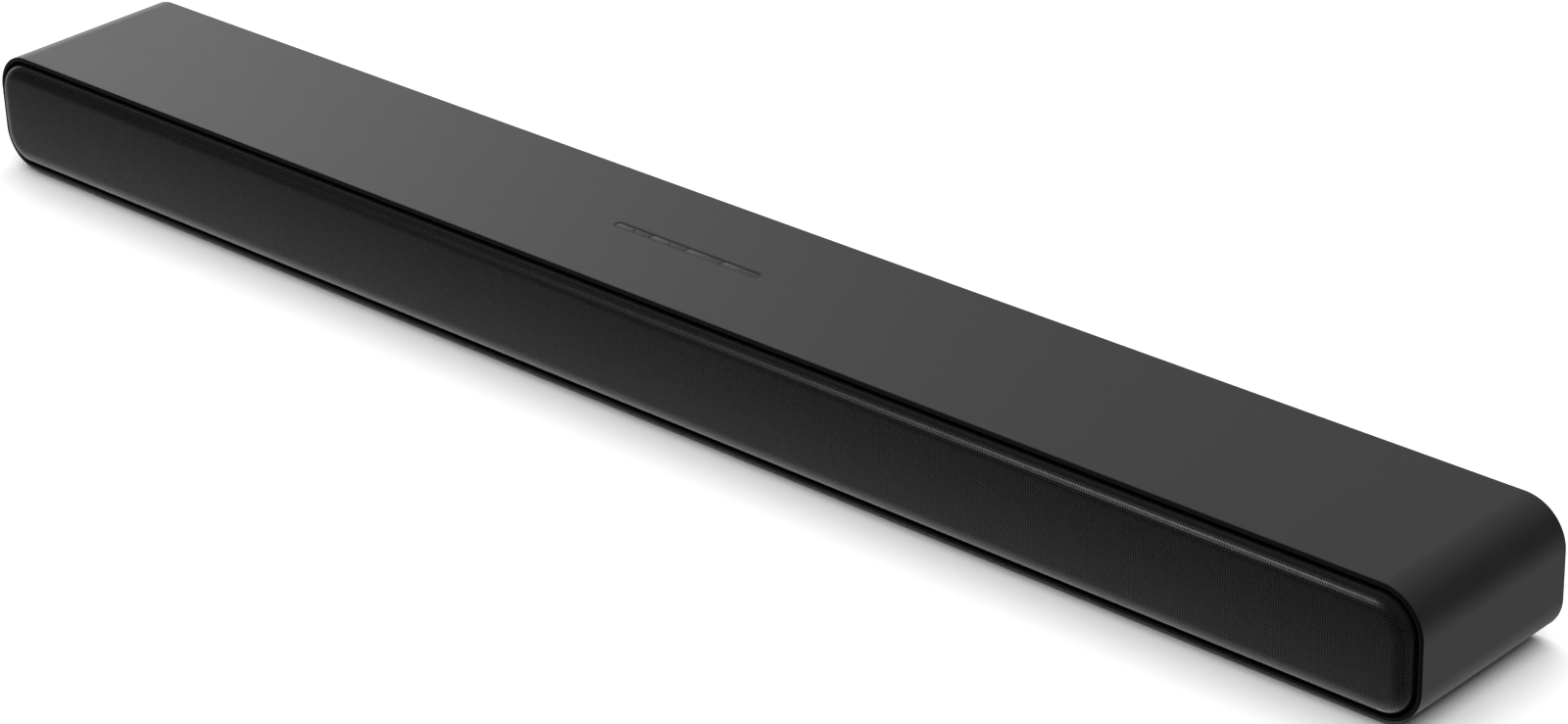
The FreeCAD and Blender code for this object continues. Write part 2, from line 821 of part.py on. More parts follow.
def make_tongued_socket(name, label):
    """A walled socket with a contact tongue in the middle of its mouth."""
    shell = make_walled_socket(name, name + "_shell")
    half = of(name, "tongue_width") / 2
    rise = of(name, "tongue_thick") / 2
    centre = board_top + of(name, "height") / 2
    floor = bay_floor + s.socket_proud - of(name, "mouth_depth")
    place = of(name, "place")
    reach = (place - half, place + half, floor, floor + of(name, "tongue_length"))
    keep(join(label, shell, slab(name + "_tongue", *reach, centre - rise, centre + rise)))


def make_inlet():
    """The mains inlet: a block with an oval mouth, and its two pins."""
    centre = board_top + s.inlet_height / 2
    back = bay_floor + s.socket_proud
    floor = back - s.inlet_mouth_depth
    mouth_size = (s.inlet_mouth_width, s.inlet_mouth_height)
    oval = stadium(s.inlet_place, centre, *mouth_size)
    mouth = prism("inlet_mouth", "Y", floor, back + s.socket_proud, oval)
    keep(cut("mains_inlet", socket_shell("inlet"), mouth))
    pins = []
    for side, sign in SIDES:
        place = s.inlet_place + s.pin_spread / 2 * sign
        pins.append(rod("pin_" + side, s.pin_radius, place, centre, floor, floor + s.pin_length))
    keep(group("inlet_pins", pins))


def make_jack():
    """The round audio jack."""
    centre = board_top + s.jack_height / 2
    back = bay_floor + s.socket_proud
    bore = rod("jack_hole", s.jack_bore, s.jack_place, centre, back - s.jack_bore_depth, back + s.wall)
    keep(cut("audio_jack", socket_shell("jack"), bore))


def make_boards():
    """The power board and the main board, on a tray with a post under each corner."""
    across, _ = bay_half()
    back = bay_inner - s.board_play
    halves = {
        "power_board": (-across, s.board_split - s.board_gap / 2),
        "main_board": (s.board_split + s.board_gap / 2, across),
    }
    inset = s.tray_inset / 2
    tray_top = deck_z + s.tray_thick
    pieces = [slab("tray_plate", -across, across, s.board_front, back, deck_z, tray_top)]
    pilots = []
    screws = []
    for name, (left, right) in halves.items():
        holes = []
        for number, x in enumerate((left + inset, right - inset)):
            spot = (x, s.board_front + inset)
            tag = "%s_%d" % (name, number)
            pieces.append(post("tray_post_" + tag, s.tray_post, *spot, tray_top, board_low))
            pilots.append(post("tray_pilot_" + tag, pilot_hole, *spot, tray_top, board_low))
            head_top = board_top + s.screw_head_height
            shank_end = board_top - s.screw_length
            head = post("screw_head_" + tag, s.screw_head_radius, *spot, board_top, head_top)
            shank = post("screw_shank_" + tag, s.screw_radius, *spot, shank_end, board_top)
            screws.append(join("board_screw_" + tag, head, shank))
            holes.append(disc(*spot, screw_hole))
        outline = oblong(left, right, s.board_front, back)
        keep(prism(name, "Z", board_low, board_top, outline, *holes))
    keep(cut("electronics_tray", join("tray_with_posts", *pieces), *pilots))
    keep(group("board_screws", screws))


def block(label, place, depth, width, side, bottom, top):
    """A box centred on a place along the bar and in depth."""
    reach = (place - width / 2, place + width / 2, depth - side / 2, depth + side / 2)
    return slab(label, *reach, bottom, top)


def make_board_parts():
    """The larger parts on the boards."""
    top = board_top
    spot = (s.processor_place, s.processor_back, s.processor_side, s.processor_side)
    keep(block("processor", *spot, top, top + s.processor_height))
    spot = (s.radio_place, s.radio_back, s.radio_width, s.radio_side)
    keep(block("radio_module", *spot, top, top + s.radio_height))
    spot = (s.amplifier_place, s.amplifier_back, s.amplifier_side, s.amplifier_side)
    chip_top = top + s.amplifier_height
    keep(block("amplifier_chip", *spot, top, chip_top))
    spot = (s.amplifier_place, s.amplifier_back)
    base = block("sink_plate", *spot, s.sink_width, s.sink_side, chip_top, chip_top + s.sink_base)
    fins = []
    count = int(s.sink_fins.number)
    pitch = (s.sink_width - s.sink_fin) / (count - 1)
    first = s.amplifier_place - s.sink_width / 2 + s.sink_fin / 2
    for number in range(count):
        spot = (first + pitch * number, s.amplifier_back, s.sink_fin, s.sink_side)
        fins.append(block("sink_fin_%d" % number, *spot, chip_top, chip_top + s.sink_height))
    keep(join("heat_sink", base, *fins))
    spot = (s.core_place, s.core_back, s.core_width, s.core_side)
    keep(block("transformer", *spot, top, top + s.core_height))
    cans = []
    for number in range(2):
        depth = s.can_back + s.can_pitch * number
        cans.append(post("can_%d" % number, s.can_radius, s.can_place, depth, top, top + s.can_height))
    keep(group("capacitors", cans))


def make_lamp():
    """The indicator's light guide and the remote receiver, on a small board."""
    half = s.lamp_board_width / 2
    rise = s.lamp_board_height / 2
    back = baffle_back + s.board_thick
    keep(slab("indicator_board", -half, half, baffle_back, back, mid_z - rise, mid_z + rise))
    reach = (frame_back - s.window_play, baffle_back)
    keep(rod("indicator_lens", s.lens_radius, -s.lamp_place, mid_z, *reach))
    keep(rod("remote_receiver", s.receiver_radius, s.lamp_place, mid_z, *reach))


# ---- control strip ---------------------------------------------------------------------

bezel_top = roof_z - s.strip_recess
bezel_bottom = bezel_top - s.bezel_height
key_flange_top = bezel_bottom - s.key_gap
key_flange_bottom = key_flange_top - s.key_flange_thick
switch_top = key_flange_bottom - s.key_travel - s.key_gap / 2
key_board_top = switch_top - s.switch_height
KEYS = ("power", "source", "volume_down", "volume_up")


def strip_oval(grow):
    grow = as_size(grow) * 2
    return stadium(0, 0, s.strip_length + grow, s.strip_width + grow)


def make_bezel():
    """The control strip's rim, its flange under the roof and the legs that hold its board."""
    hole = strip_oval(-s.slip - s.bezel_wall)
    rim = prism("bezel_rim", "Z", bezel_bottom, bezel_top, strip_oval(-s.slip), hole)
    flange_low = ceiling_z - s.bezel_flange_thick
    flange = prism("bezel_flange", "Z", flange_low, ceiling_z, strip_oval(s.bezel_flange), hole)
    legs = []
    for side, sign in SIDES:
        middle = (s.strip_length / 2 + s.bezel_flange / 2) * sign
        half = s.bezel_flange / 4
        reach = (middle - half, middle + half, s.strip_width / -2, s.strip_width / 2)
        legs.append(slab("bezel_leg_" + side, *reach, key_board_top, ceiling_z - s.slip))
    keep(join("control_bezel", rim, flange, *legs))


def make_keys():
    """Four keys that share the strip, and the switches and board below them."""
    play = s.slip + s.bezel_wall + s.key_gap
    row_length = s.strip_length - play * 2
    count = len(KEYS)
    pitch = (row_length + s.key_gap) / count
    key_top = bezel_top - s.key_recess
    switches = []
    for number, name in enumerate(KEYS):
        left = row_length / -2 + pitch * number
        right = left + pitch - s.key_gap
        side = s.strip_width / 2
        row = prism("key_row_" + name, "Z", key_flange_bottom, key_top, strip_oval(-play))
        column = (left, right, -side, side)
        block_here = slab("key_column_" + name, *column, key_flange_bottom, key_top)
        shaft = doc.addObject("Part::Common", "key_shaft_" + name)
        shaft.Base = row
        shaft.Tool = block_here
        flange = slab("key_flange_" + name, *column, key_flange_bottom, key_flange_top)
        keep(join("key_" + name, shaft, flange))
        spot = ((left + right) / 2, as_size(0), s.switch_side, s.switch_side)
        switches.append(block("switch_" + name, *spot, key_board_top, switch_top))
    keep(group("key_switches", switches))
    reach = s.strip_length / 2 + s.bezel_flange
    half = s.strip_width / 2 + s.key_gap
    low = key_board_top - s.key_board_thick
    keep(slab("key_board", -reach, reach, -half, half, low, key_board_top))


def make_label():
    """A blank rating label on the rear panel."""
    rise = s.label_height / 2
    reach = (s.label_left, s.label_left + s.label_width)
    keep(slab("rating_label", *reach, rear_face, rear_face + s.label_thick, mid_z - rise, mid_z + rise))


def check_document():
    """Stop if any object failed, or any piece is empty or broken."""
    for item in doc.Objects:
        if "Invalid" in item.State or "Error" in item.State:
            raise RuntimeError("%s did not build: %s" % (item.Label, item.State))
    for item in nodes:
        if item.Shape.isNull() or not item.Shape.isValid() or not item.Shape.Solids:
            raise RuntimeError("%s has no valid solid" % item.Label)


def write_pieces():
    os.makedirs("parts", exist_ok=True)
    for item in nodes:
        item.Shape.exportStep(os.path.join("parts", item.Label + ".step"))


def main():
    make_case()
    make_feet()
    make_front()
    make_baffle()
    for side, sign in SIDES:
        make_woofer(side, s.woofer_place * sign)
        make_tweeter(side, s.tweeter_place * sign)
        make_bulkhead(side, sign)
        make_wadding(side, s.woofer_place * sign)
    make_rear_panel()
    make_screws()
    make_bay()
    make_inlet()
    make_tongued_socket("video", "video_socket")
    make_tongued_socket("service", "service_socket")
    keep(make_walled_socket("optical", "optical_socket"))
    make_jack()
    make_boards()
    make_board_parts()
    make_lamp()
    make_bezel()
    make_keys()
    make_label()
    doc.recompute()
    check_document()
    write_pieces()
    print("%d pieces" % len(nodes))


main()
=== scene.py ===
"""A compact one-piece soundbar: rounded sleeve, perforated grille, press keys and a rear bay."""

import json
import math

import bmesh
import bpy
import numpy as np
from bpy.props import FloatProperty, FloatVectorProperty, PointerProperty
from mathutils import Matrix, Vector
from mathutils.geometry import delaunay_2d_cdt


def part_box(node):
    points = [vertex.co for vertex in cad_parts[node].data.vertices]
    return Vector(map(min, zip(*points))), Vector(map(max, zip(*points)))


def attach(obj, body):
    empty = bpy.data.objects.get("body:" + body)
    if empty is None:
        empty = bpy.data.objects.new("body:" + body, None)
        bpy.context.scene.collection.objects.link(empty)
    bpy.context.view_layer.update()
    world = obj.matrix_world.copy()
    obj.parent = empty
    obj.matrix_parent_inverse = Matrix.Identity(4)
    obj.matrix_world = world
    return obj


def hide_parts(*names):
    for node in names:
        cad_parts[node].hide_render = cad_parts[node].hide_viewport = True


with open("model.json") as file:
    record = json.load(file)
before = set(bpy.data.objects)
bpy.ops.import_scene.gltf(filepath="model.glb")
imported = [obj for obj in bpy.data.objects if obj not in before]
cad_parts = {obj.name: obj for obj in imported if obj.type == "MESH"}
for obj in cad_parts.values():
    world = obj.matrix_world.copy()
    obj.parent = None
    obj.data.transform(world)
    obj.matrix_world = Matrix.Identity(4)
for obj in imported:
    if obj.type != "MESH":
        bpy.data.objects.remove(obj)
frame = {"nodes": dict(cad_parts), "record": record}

bl_info = {
    "name": "Soundbar Looks",
    "version": (1, 0, 0),
    "blender": (4, 5, 0),
    "location": "3D View > Sidebar > Soundbar",
    "description": "Builds the shells, grille, keys, drivers and finishes of a soundbar",
    "category": "Object",
}

MM = 0.001
QUARTER = math.pi / 2
SIDES = ("left", "right")
KEYS = ("power", "source", "volume_down", "volume_up")
CASE_BODY = "case"
CORNER_STEPS = 20

# Sizes of the case and its parts that no box gives.
CORNER_TOP = 19.0 * MM
CORNER_BOTTOM = 17.0 * MM
WALL = 2.0 * MM
GROOVE = 1.6 * MM
SLIP = 0.1 * MM
INNER_BEVEL = 0.25 * MM
SLOT_EASE = 0.06 * MM
FOOT_EDGE = 0.6 * MM
FRAME_LEDGE = 2.0 * MM
STRIP_LENGTH = 84.0 * MM
STRIP_WIDTH = 5.2 * MM
BEZEL_WALL = 0.6 * MM
BEZEL_HEIGHT = 5.0 * MM
FLANGE_REACH = 4.0 * MM
FLANGE_THICK = 1.2 * MM
KEY_GAP = 0.2 * MM
KEY_FLANGE = 0.8 * MM
GRILLE_STEEL = 0.8 * MM
CLOTH_THICK = 0.3 * MM
CLOTH_GAP = 0.1 * MM
SCREW_RADIUS = 2.6 * MM
SCREW_HEAD = 1.2 * MM
SCREW_LENGTH = 9.0 * MM
INSERT_BORE = 1.75 * MM
SURROUND_WIDTH = 4.9 * MM
ROLL_RADIUS = 1.9 * MM
COIL_RADIUS = 10.6 * MM
CONE_THICK = 0.6 * MM
CONE_DISH = 4.0 * MM
REAR_SCREWS = (-381.0 * MM, -165.0 * MM, 165.0 * MM, 381.0 * MM)
WOOFER_SCREWS = tuple(place * MM for place in (-300.08, -223.92, 223.92, 300.08))

# The grille's mesh: plain rim, droop at the ends, and how it is divided.
RIM_INSET = 1.75 * MM
RING_SHARE = 0.8
RING_STEPS = 9
END_REACH = 24.0 * MM
# The sleeve's front lip: the band behind its front plane, and the near-black colour painted there as shade.
LIP_PAINTED_SHADE_BAND = (0.3 * MM, 1.0 * MM)
LIP_PAINTED_SHADE = (0.003, 0.003, 0.0032)
PANELS = 6
WAVE_LENGTH = 0.314
CLOTH_COLUMNS = 481
CLOTH_ROWS = 25
WADDING_SQUARE = 0.35

# Room light: an even level, and glows of (direction, cosine where it starts, where full, strength).
ROOM_LEVEL = 0.05
ROOM_GLOWS = (
    ((-0.62, 0.05, -0.78), 0.57, 0.98, 0.88),
    ((0.45, 0.6, -0.66), 0.65, 0.95, 0.42),
    ((-0.93, 0.30, 0.22), 0.86, 0.97, 1.2),
    ((-0.86, 0.42, 0.28), 0.93, 1.0, 0.62),
    ((-0.55, 0.68, 0.48), 0.45, 0.98, 0.36),
    ((0.0, 0.0, -1.0), 0.25, 0.9, 0.15),
)
STUDIO_LIGHTS = (
    ("overhead_light", (0.0, 0.4, 3.0), (0.0, 0.2, 0.0), (6.0, 6.0), 260.0, False),
    ("front_softbox", (-1.28, -2.55, 0.62), (0.0, 0.0, 0.04), (0.55, 0.9), 8.0, True),
)
CAMERA_PLACE = (1.16309, -1.15484, 0.82103)
CAMERA_TURN = (43.8486, 26.4999, -2.0176)


# ---- outlines: closed loops of points (across, up) with their outward directions ----------


def rounded_loop(left, right, bottom, top, radii, spacing=None):
    """Rectangle with round corners, anticlockwise from its upper right corner.

    Each corner is an arc: its centre plus its radius times the unit vector at the angle.
    Where a spacing is given, the straight sides get points about that far apart.
    """
    radii = np.asarray(radii, float)
    across = np.array([right, left, left, right]) + radii * [-1, 1, 1, -1]
    up = np.array([top, top, bottom, bottom]) + radii * [-1, -1, 1, 1]
    turn = np.linspace(0.0, QUARTER, CORNER_STEPS + 1)
    angle = np.arange(4)[:, None] * QUARTER + turn
    outward = np.stack([np.cos(angle), np.sin(angle)], axis=2)
    points = np.stack([across, up], axis=1)[:, None, :] + outward * radii[:, None, None]
    if spacing is None:
        return points.reshape(-1, 2), outward.reshape(-1, 2)
    blocks = []
    for number in range(4):
        start, end = points[number, -1], points[(number + 1) % 4, 0]
        count = max(int(round(np.linalg.norm(end - start) / spacing)), 1)
        share = np.linspace(0.0, 1.0, count + 1)[1:-1, None]
        side = np.repeat(outward[number, -1:], len(share), axis=0)
        blocks += [(points[number], outward[number]), (start + (end - start) * share, side)]
    return tuple(np.concatenate([block[part] for block in blocks]) for part in (0, 1))


def stadium_loop(across, up, length, width, steps=CORNER_STEPS):
    """Straight-sided oval: two half circles joined by straight lines."""
    radius = width / 2
    reach = (length - width) / 2
    turn = np.linspace(-QUARTER, QUARTER, 2 * steps + 1)
    angle = np.stack([turn, turn + 2 * QUARTER])
    outward = np.stack([np.cos(angle), np.sin(angle)], axis=2)
    centres = np.array([(across + reach, up), (across - reach, up)])
    points = centres[:, None, :] + outward * radius
    return points.reshape(-1, 2), outward.reshape(-1, 2)


def circle_loop(across, up, radius, steps=48):
    """Full circle of evenly spaced points."""
    angle = np.arange(steps) * 4 * QUARTER / steps
    outward = np.stack([np.cos(angle), np.sin(angle)], axis=1)
    return np.array([across, up]) + outward * radius, outward


def round_edge(radius, steps=6):
    """Quarter circle as (inset, drop) pairs, from the face round to the side."""
    angle = np.linspace(0.0, QUARTER, steps + 1)
    return np.stack([radius * (1 - np.sin(angle)), radius * (1 - np.cos(angle))], axis=1)


# ---- meshes from whole arrays -------------------------------------------------------------

def spread(loop, outward, inset, depth, axis):
    """Loop moved inwards by each inset and placed at each depth along an axis.

    The result is a grid: rows follow the profile, columns follow the loop.
    """
    inset = np.asarray(inset, float)[:, None, None]
    flat = loop[None, :, :] - outward[None, :, :] * inset
    deep = np.broadcast_to(np.asarray(depth, float)[:, None, None], flat.shape[:2] + (1,))
    grid = np.concatenate([flat, deep], axis=2)
    return grid if axis == "Z" else grid[:, :, [0, 2, 1]]


def grid_quads(rows, columns, wrap_rows=False, wrap_columns=True):
    """Quads of a grid, as rows of four indices, wrapped round where asked."""
    row = np.arange(rows if wrap_rows else rows - 1)
    column = np.arange(columns if wrap_columns else columns - 1)
    i, j = np.meshgrid(row, column, indexing="ij")
    below = (i + 1) % rows
    beside = (j + 1) % columns
    here, under = i * columns, below * columns
    quads = np.stack([here + j, here + beside, under + beside, under + j], 2)
    return quads.reshape(-1, 4)


def set_mesh(name, points, faces, smooth=True, sharp=40.0):
    """Object from arrays of points and faces, with its normals turned outwards."""
    mesh = bpy.data.meshes.new(name)
    blocks = [np.asarray(block) for block in (faces if isinstance(faces, list) else [faces])]
    totals = np.concatenate([np.full(len(block), block.shape[1]) for block in blocks])
    corners = np.concatenate([block.ravel() for block in blocks]).astype(np.int32)
    mesh.vertices.add(len(points))
    mesh.vertices.foreach_set("co", np.ascontiguousarray(points, np.float32).ravel())
    mesh.loops.add(len(corners))
    mesh.loops.foreach_set("vertex_index", corners)
    mesh.polygons.add(len(totals))
    starts = np.concatenate([[0], np.cumsum(totals)[:-1]]).astype(np.int32)
    mesh.polygons.foreach_set("loop_start", starts)
    mesh.update(calc_edges=True)
    mesh.validate()
    if smooth:
        mesh.shade_smooth()
        mesh.set_sharp_from_angle(angle=math.radians(sharp))
    item = bpy.data.objects.new(name, mesh)
    bpy.context.scene.collection.objects.link(item)
    return item


def turn_outwards(item, merge=1e-7):
    """Merge doubles, fill open ends and turn every face outwards."""
    work = bmesh.new()
    work.from_mesh(item.data)
    bmesh.ops.remove_doubles(work, verts=work.verts, dist=merge)
    open_edges = [edge for edge in work.edges if len(edge.link_faces) == 1]
    if open_edges:
        bmesh.ops.holes_fill(work, edges=open_edges, sides=0)
    bmesh.ops.recalc_face_normals(work, faces=work.faces)
    work.to_mesh(item.data)
    work.free()
    return item


def even_shading(item):
    """Keep flat faces flat where they meet round ones, by weighting normals by area."""
    modifier = item.modifiers.new("even_shading", "WEIGHTED_NORMAL")
    modifier.keep_sharp = True
    return item


def ring_solid(name, loop, outward, profile, axis, sharp=40.0):
    """A closed profile of (inset, depth) pairs carried round a loop."""
    profile = np.asarray(profile, float)
    grid = spread(loop, outward, profile[:, 0], profile[:, 1], axis)
    quads = grid_quads(len(profile), len(loop), wrap_rows=True)
    item = set_mesh(name, grid.reshape(-1, 3), quads, sharp=sharp)
    return reshade(turn_outwards(item), sharp)


def capped_solid(name, loop, outward, profile, axis, sharp=40.0):
    """A profile of (inset, depth) pairs carried round a loop, its two ends closed flat."""
    profile = np.asarray(profile, float)
    grid = spread(loop, outward, profile[:, 0], profile[:, 1], axis)
    quads = grid_quads(len(profile), len(loop))
    item = set_mesh(name, grid.reshape(-1, 3), quads, sharp=sharp)
    return reshade(turn_outwards(item), sharp)


def reshade(item, sharp=40.0):
    item.data.shade_smooth()
    item.data.set_sharp_from_angle(angle=math.radians(sharp))
    return item


def join(name, items):
    """Join several objects into one piece."""
    work = bmesh.new()
    for item in items:
        work.from_mesh(item.data)
        bpy.data.objects.remove(item)
    mesh = bpy.data.meshes.new(name)
    work.to_mesh(mesh)
    work.free()
    whole = bpy.data.objects.new(name, mesh)
    bpy.context.scene.collection.objects.link(whole)
    return reshade(whole)


def cut_away(item, tool):
    """Cut one closed solid out of another, and drop the tool."""
    modifier = item.modifiers.new("opening", "BOOLEAN")
    modifier.operation = "DIFFERENCE"
    modifier.solver = "EXACT"
    modifier.object = tool
    graph = bpy.context.evaluated_depsgraph_get()
    mesh = bpy.data.meshes.new_from_object(item.evaluated_get(graph))
    item.modifiers.remove(modifier)
    item.data = mesh
    bpy.data.objects.remove(tool)
    return reshade(item)


def settle(item, body, slot, *nodes):
    """Give a piece its body, its slot and the nodes it stands for."""
    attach(item, body)
    if nodes:
        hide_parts(*nodes)
    item.data.materials.clear()
    item.data.materials.append(FINISHES[slot]())
    return item


# ---- finishes -----------------------------------------------------------------------------


class Nodes:
    """A small helper that builds one material's node tree."""

    def __init__(self, name):
        self.material = bpy.data.materials.new(name)
        self.material.use_nodes = True
        self.tree = self.material.node_tree
        self.shader = self.tree.nodes["Principled BSDF"]
        place = self.tree.nodes.new("ShaderNodeTexCoord")
        self.place = place.outputs["Object"]

    def add(self, kind, inputs=(), **settings):
        node = self.tree.nodes.new(kind)
        for key, value in settings.items():
            setattr(node, key, value)
        for key, value in dict(inputs).items():
            if isinstance(value, bpy.types.NodeSocket):
                self.tree.links.new(value, node.inputs[key])
            else:
                node.inputs[key].default_value = value
        return node

    def noise(self, scale, detail=2.0, roughness=0.5, place=None):
        inputs = {"Vector": place or self.place, "Scale": scale, "Detail": detail, "Roughness": roughness}
        return self.add("ShaderNodeTexNoise", inputs).outputs["Fac"]

    def stretch(self, scale):
        """Coordinates scaled by a different amount along each axis."""
        return self.add("ShaderNodeMapping", {"Vector": self.place, "Scale": scale}).outputs["Vector"]

    def remap(self, value, low, high):
        inputs = {"Value": value, "From Min": 0.25, "From Max": 0.75, "To Min": low, "To Max": high}
        return self.add("ShaderNodeMapRange", inputs).outputs["Result"]

    def blend(self, share, dark, light):
        mix = self.add("ShaderNodeMix", data_type="RGBA")
        self.tree.links.new(share, mix.inputs[0])
        mix.inputs[6].default_value = (*dark, 1.0)
        mix.inputs[7].default_value = (*light, 1.0)
        return mix.outputs[2]

    def bump(self, height, distance, strength=1.0, below=None):
        inputs = {"Height": height, "Distance": distance, "Strength": strength}
        if below is not None:
            inputs["Normal"] = below
        return self.add("ShaderNodeBump", inputs).outputs["Normal"]

    def set(self, **values):
        """Set or link the shader's sockets. Underscores in a name stand for spaces."""
        for key, value in values.items():
            socket = self.shader.inputs[key.replace("_", " ")]
            if isinstance(value, bpy.types.NodeSocket):
                self.tree.links.new(value, socket)
            else:
                socket.default_value = value
        return self.material


FINISHES = {}


def finish(slot):
    """Register a function as the maker of one slot's material, made once."""

    def wrap(make):
        made = {}

        def once():
            if slot not in made:
                made[slot] = make(slot)
            return made[slot]

        FINISHES[slot] = once
        return make

    return wrap


def shade(colour, factor):
    return tuple(channel * factor for channel in colour)


def moulded(slot, colour, rough, grain=2600.0, depth=0.012 * MM, spread_share=0.12, gloss_share=0.08):
    """Moulded plastic: fine spark-eroded grain, with slight changes of tone and gloss."""
    nodes = Nodes(slot)
    fine = nodes.noise(grain, detail=3.0)
    broad = nodes.noise(22.0, detail=2.0)
    dark, light = shade(colour, 1 - spread_share), shade(colour, 1 + spread_share)
    tone = nodes.blend(nodes.remap(broad, 0.0, 1.0), dark, light)
    gloss = nodes.remap(nodes.noise(180.0), rough * (1 - gloss_share), rough * (1 + gloss_share))
    return nodes.set(Base_Color=tone, Roughness=gloss, Normal=nodes.bump(fine, depth))


def metal(slot, colour, rough, streak=(2.0, 900.0, 900.0), depth=0.004 * MM):
    """Bare metal: long fine streaks in gloss and relief, and faint stains."""
    nodes = Nodes(slot)
    lines = nodes.noise(1.0, detail=3.0, place=nodes.stretch(streak))
    stain = nodes.noise(90.0, detail=3.0)
    tone = nodes.blend(nodes.remap(stain, 0.0, 1.0), shade(colour, 0.86), shade(colour, 1.06))
    gloss = nodes.remap(lines, rough - 0.07, rough + 0.09)
    return nodes.set(Base_Color=tone, Roughness=gloss, Normal=nodes.bump(lines, depth), Metallic=1.0)


def soft_rubber(slot, colour, rough=0.72):
    """Rubber: a fine matt grain with dusty mottling."""
    nodes = Nodes(slot)
    dust = nodes.noise(260.0, detail=4.0)
    fine = nodes.noise(3200.0, detail=2.0)
    tone = nodes.blend(nodes.remap(dust, 0.0, 1.0), shade(colour, 0.8), shade(colour, 1.3))
    gloss = nodes.remap(dust, rough - 0.06, rough + 0.08)
    return nodes.set(
        Base_Color=tone, Roughness=gloss, Normal=nodes.bump(fine, 0.02 * MM), Specular_IOR_Level=0.35
    )


def woven(slot, colour, pitch=0.35 * MM, relief=0.06 * MM):
    """Woven cloth: two crossed sets of rounded threads, each rising over the other in turn."""
    nodes = Nodes(slot)
    waves = []
    for direction in ("X", "Z"):
        settings = {"wave_type": "BANDS", "bands_direction": direction, "wave_profile": "SIN"}
        inputs = {"Vector": nodes.place, "Scale": WAVE_LENGTH / pitch}
        wave = nodes.add("ShaderNodeTexWave", inputs, **settings)
        waves.append(wave.outputs["Fac"])
    weave = nodes.add("ShaderNodeMath", {0: waves[0], 1: waves[1]}, operation="MAXIMUM").outputs[0]
    fuzz = nodes.noise(2400.0, detail=3.0)
    # Painted shade: the colour is darker where the weave is low, between the threads, and lighter on the
    # threads' tops.
    tone = nodes.blend(nodes.remap(weave, 0.0, 1.0), shade(colour, 0.5), shade(colour, 1.4))
    below = nodes.bump(fuzz, 0.02 * MM)
    return nodes.set(
        Base_Color=tone, Roughness=0.9, Normal=nodes.bump(weave, relief, below=below), Sheen_Weight=0.25
    )


@finish("case_shell")
def case_shell(slot):
    """Satin charcoal skin of the sleeve, keys and bezel: a very fine even grain.

    The front lip's colour is painted shade: near-black, over the first millimetre behind its foremost plane.
    """
    look = bpy.context.scene.soundbar_case
    nodes = Nodes(slot)
    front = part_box("wrap_cover")[0][1]
    place = nodes.add("ShaderNodeSeparateXYZ", {"Vector": nodes.place}).outputs["Y"]
    reach = {"Value": place, "From Min": front + LIP_PAINTED_SHADE_BAND[0], "From Max": front + LIP_PAINTED_SHADE_BAND[1]}
    # skin is 0 on the lip band, where the near-black colour is painted shade, and 1 further back.
    skin = nodes.add("ShaderNodeMapRange", reach).outputs["Result"]
    fine = nodes.noise(3400.0, detail=3.0)
    gloss = nodes.remap(nodes.noise(180.0), look.gloss * 0.98, look.gloss * 1.02)
    tone = nodes.blend(skin, LIP_PAINTED_SHADE, tuple(look.colour))
    shine = nodes.add("ShaderNodeMapRange", {"Value": skin, "To Min": 0.1, "To Max": 0.5}).outputs["Result"]
    return nodes.set(
        Base_Color=tone, Roughness=gloss, Normal=nodes.bump(fine, 0.004 * MM), Specular_IOR_Level=shine
    )


@finish("grille_metal")
def grille_metal(slot):
    """Powder-coated steel: a smooth satin coat with a faint orange-peel ripple."""
    look = bpy.context.scene.soundbar_grille
    nodes = Nodes(slot)
    peel = nodes.noise(900.0, detail=2.0)
    broad = nodes.noise(30.0)
    colour = tuple(look.colour)
    tone = nodes.blend(nodes.remap(broad, 0.0, 1.0), shade(colour, 0.92), shade(colour, 1.08))
    gloss = nodes.remap(nodes.noise(400.0), look.gloss - 0.03, look.gloss + 0.03)
    return nodes.set(
        Base_Color=tone, Roughness=gloss, Normal=nodes.bump(peel, 0.004 * MM), Specular_IOR_Level=0.6
    )


@finish("frame_plastic")
def frame_plastic(slot):
    """Matt black moulding behind the groove."""
    return moulded(slot, (0.0035, 0.0035, 0.0038), 0.62)


@finish("acoustic_cloth")
def acoustic_cloth(slot):
    """Black open-weave cloth."""
    return woven(slot, (0.004, 0.004, 0.0042))


@finish("baffle_plastic")
def baffle_plastic(slot):
    """Coarser grain of a hidden moulding."""
    return moulded(slot, (0.012, 0.012, 0.013), 0.58, grain=1500.0, depth=0.03 * MM)


@finish("rear_plastic")
def rear_plastic(slot):
    """Rear panel: a deep spark-eroded grain."""
    return moulded(slot, (0.016, 0.016, 0.0165), 0.55, grain=1300.0, depth=0.045 * MM)


@finish("bay_plastic")
def bay_plastic(slot):
    """Smooth satin moulding of the connector bay."""
    return moulded(slot, (0.013, 0.013, 0.0135), 0.42, grain=2200.0, depth=0.012 * MM)


@finish("foot_rubber")
def foot_rubber(slot):
    """Soft dark rubber."""
    return soft_rubber(slot, (0.018, 0.018, 0.019))


@finish("key_rubber")
def key_rubber(slot):
    """Keys in the sleeve's own colour and satin finish."""
    look = bpy.context.scene.soundbar_case
    return moulded(slot, tuple(look.colour), look.gloss, grain=3800.0, depth=0.004 * MM, spread_share=0.03)


@finish("bezel_plastic")
def bezel_plastic(slot):
    """The control strip's thin rim, in the sleeve's colour."""
    look = bpy.context.scene.soundbar_case
    return moulded(slot, tuple(look.colour), look.gloss, grain=3800.0, depth=0.004 * MM, spread_share=0.03)


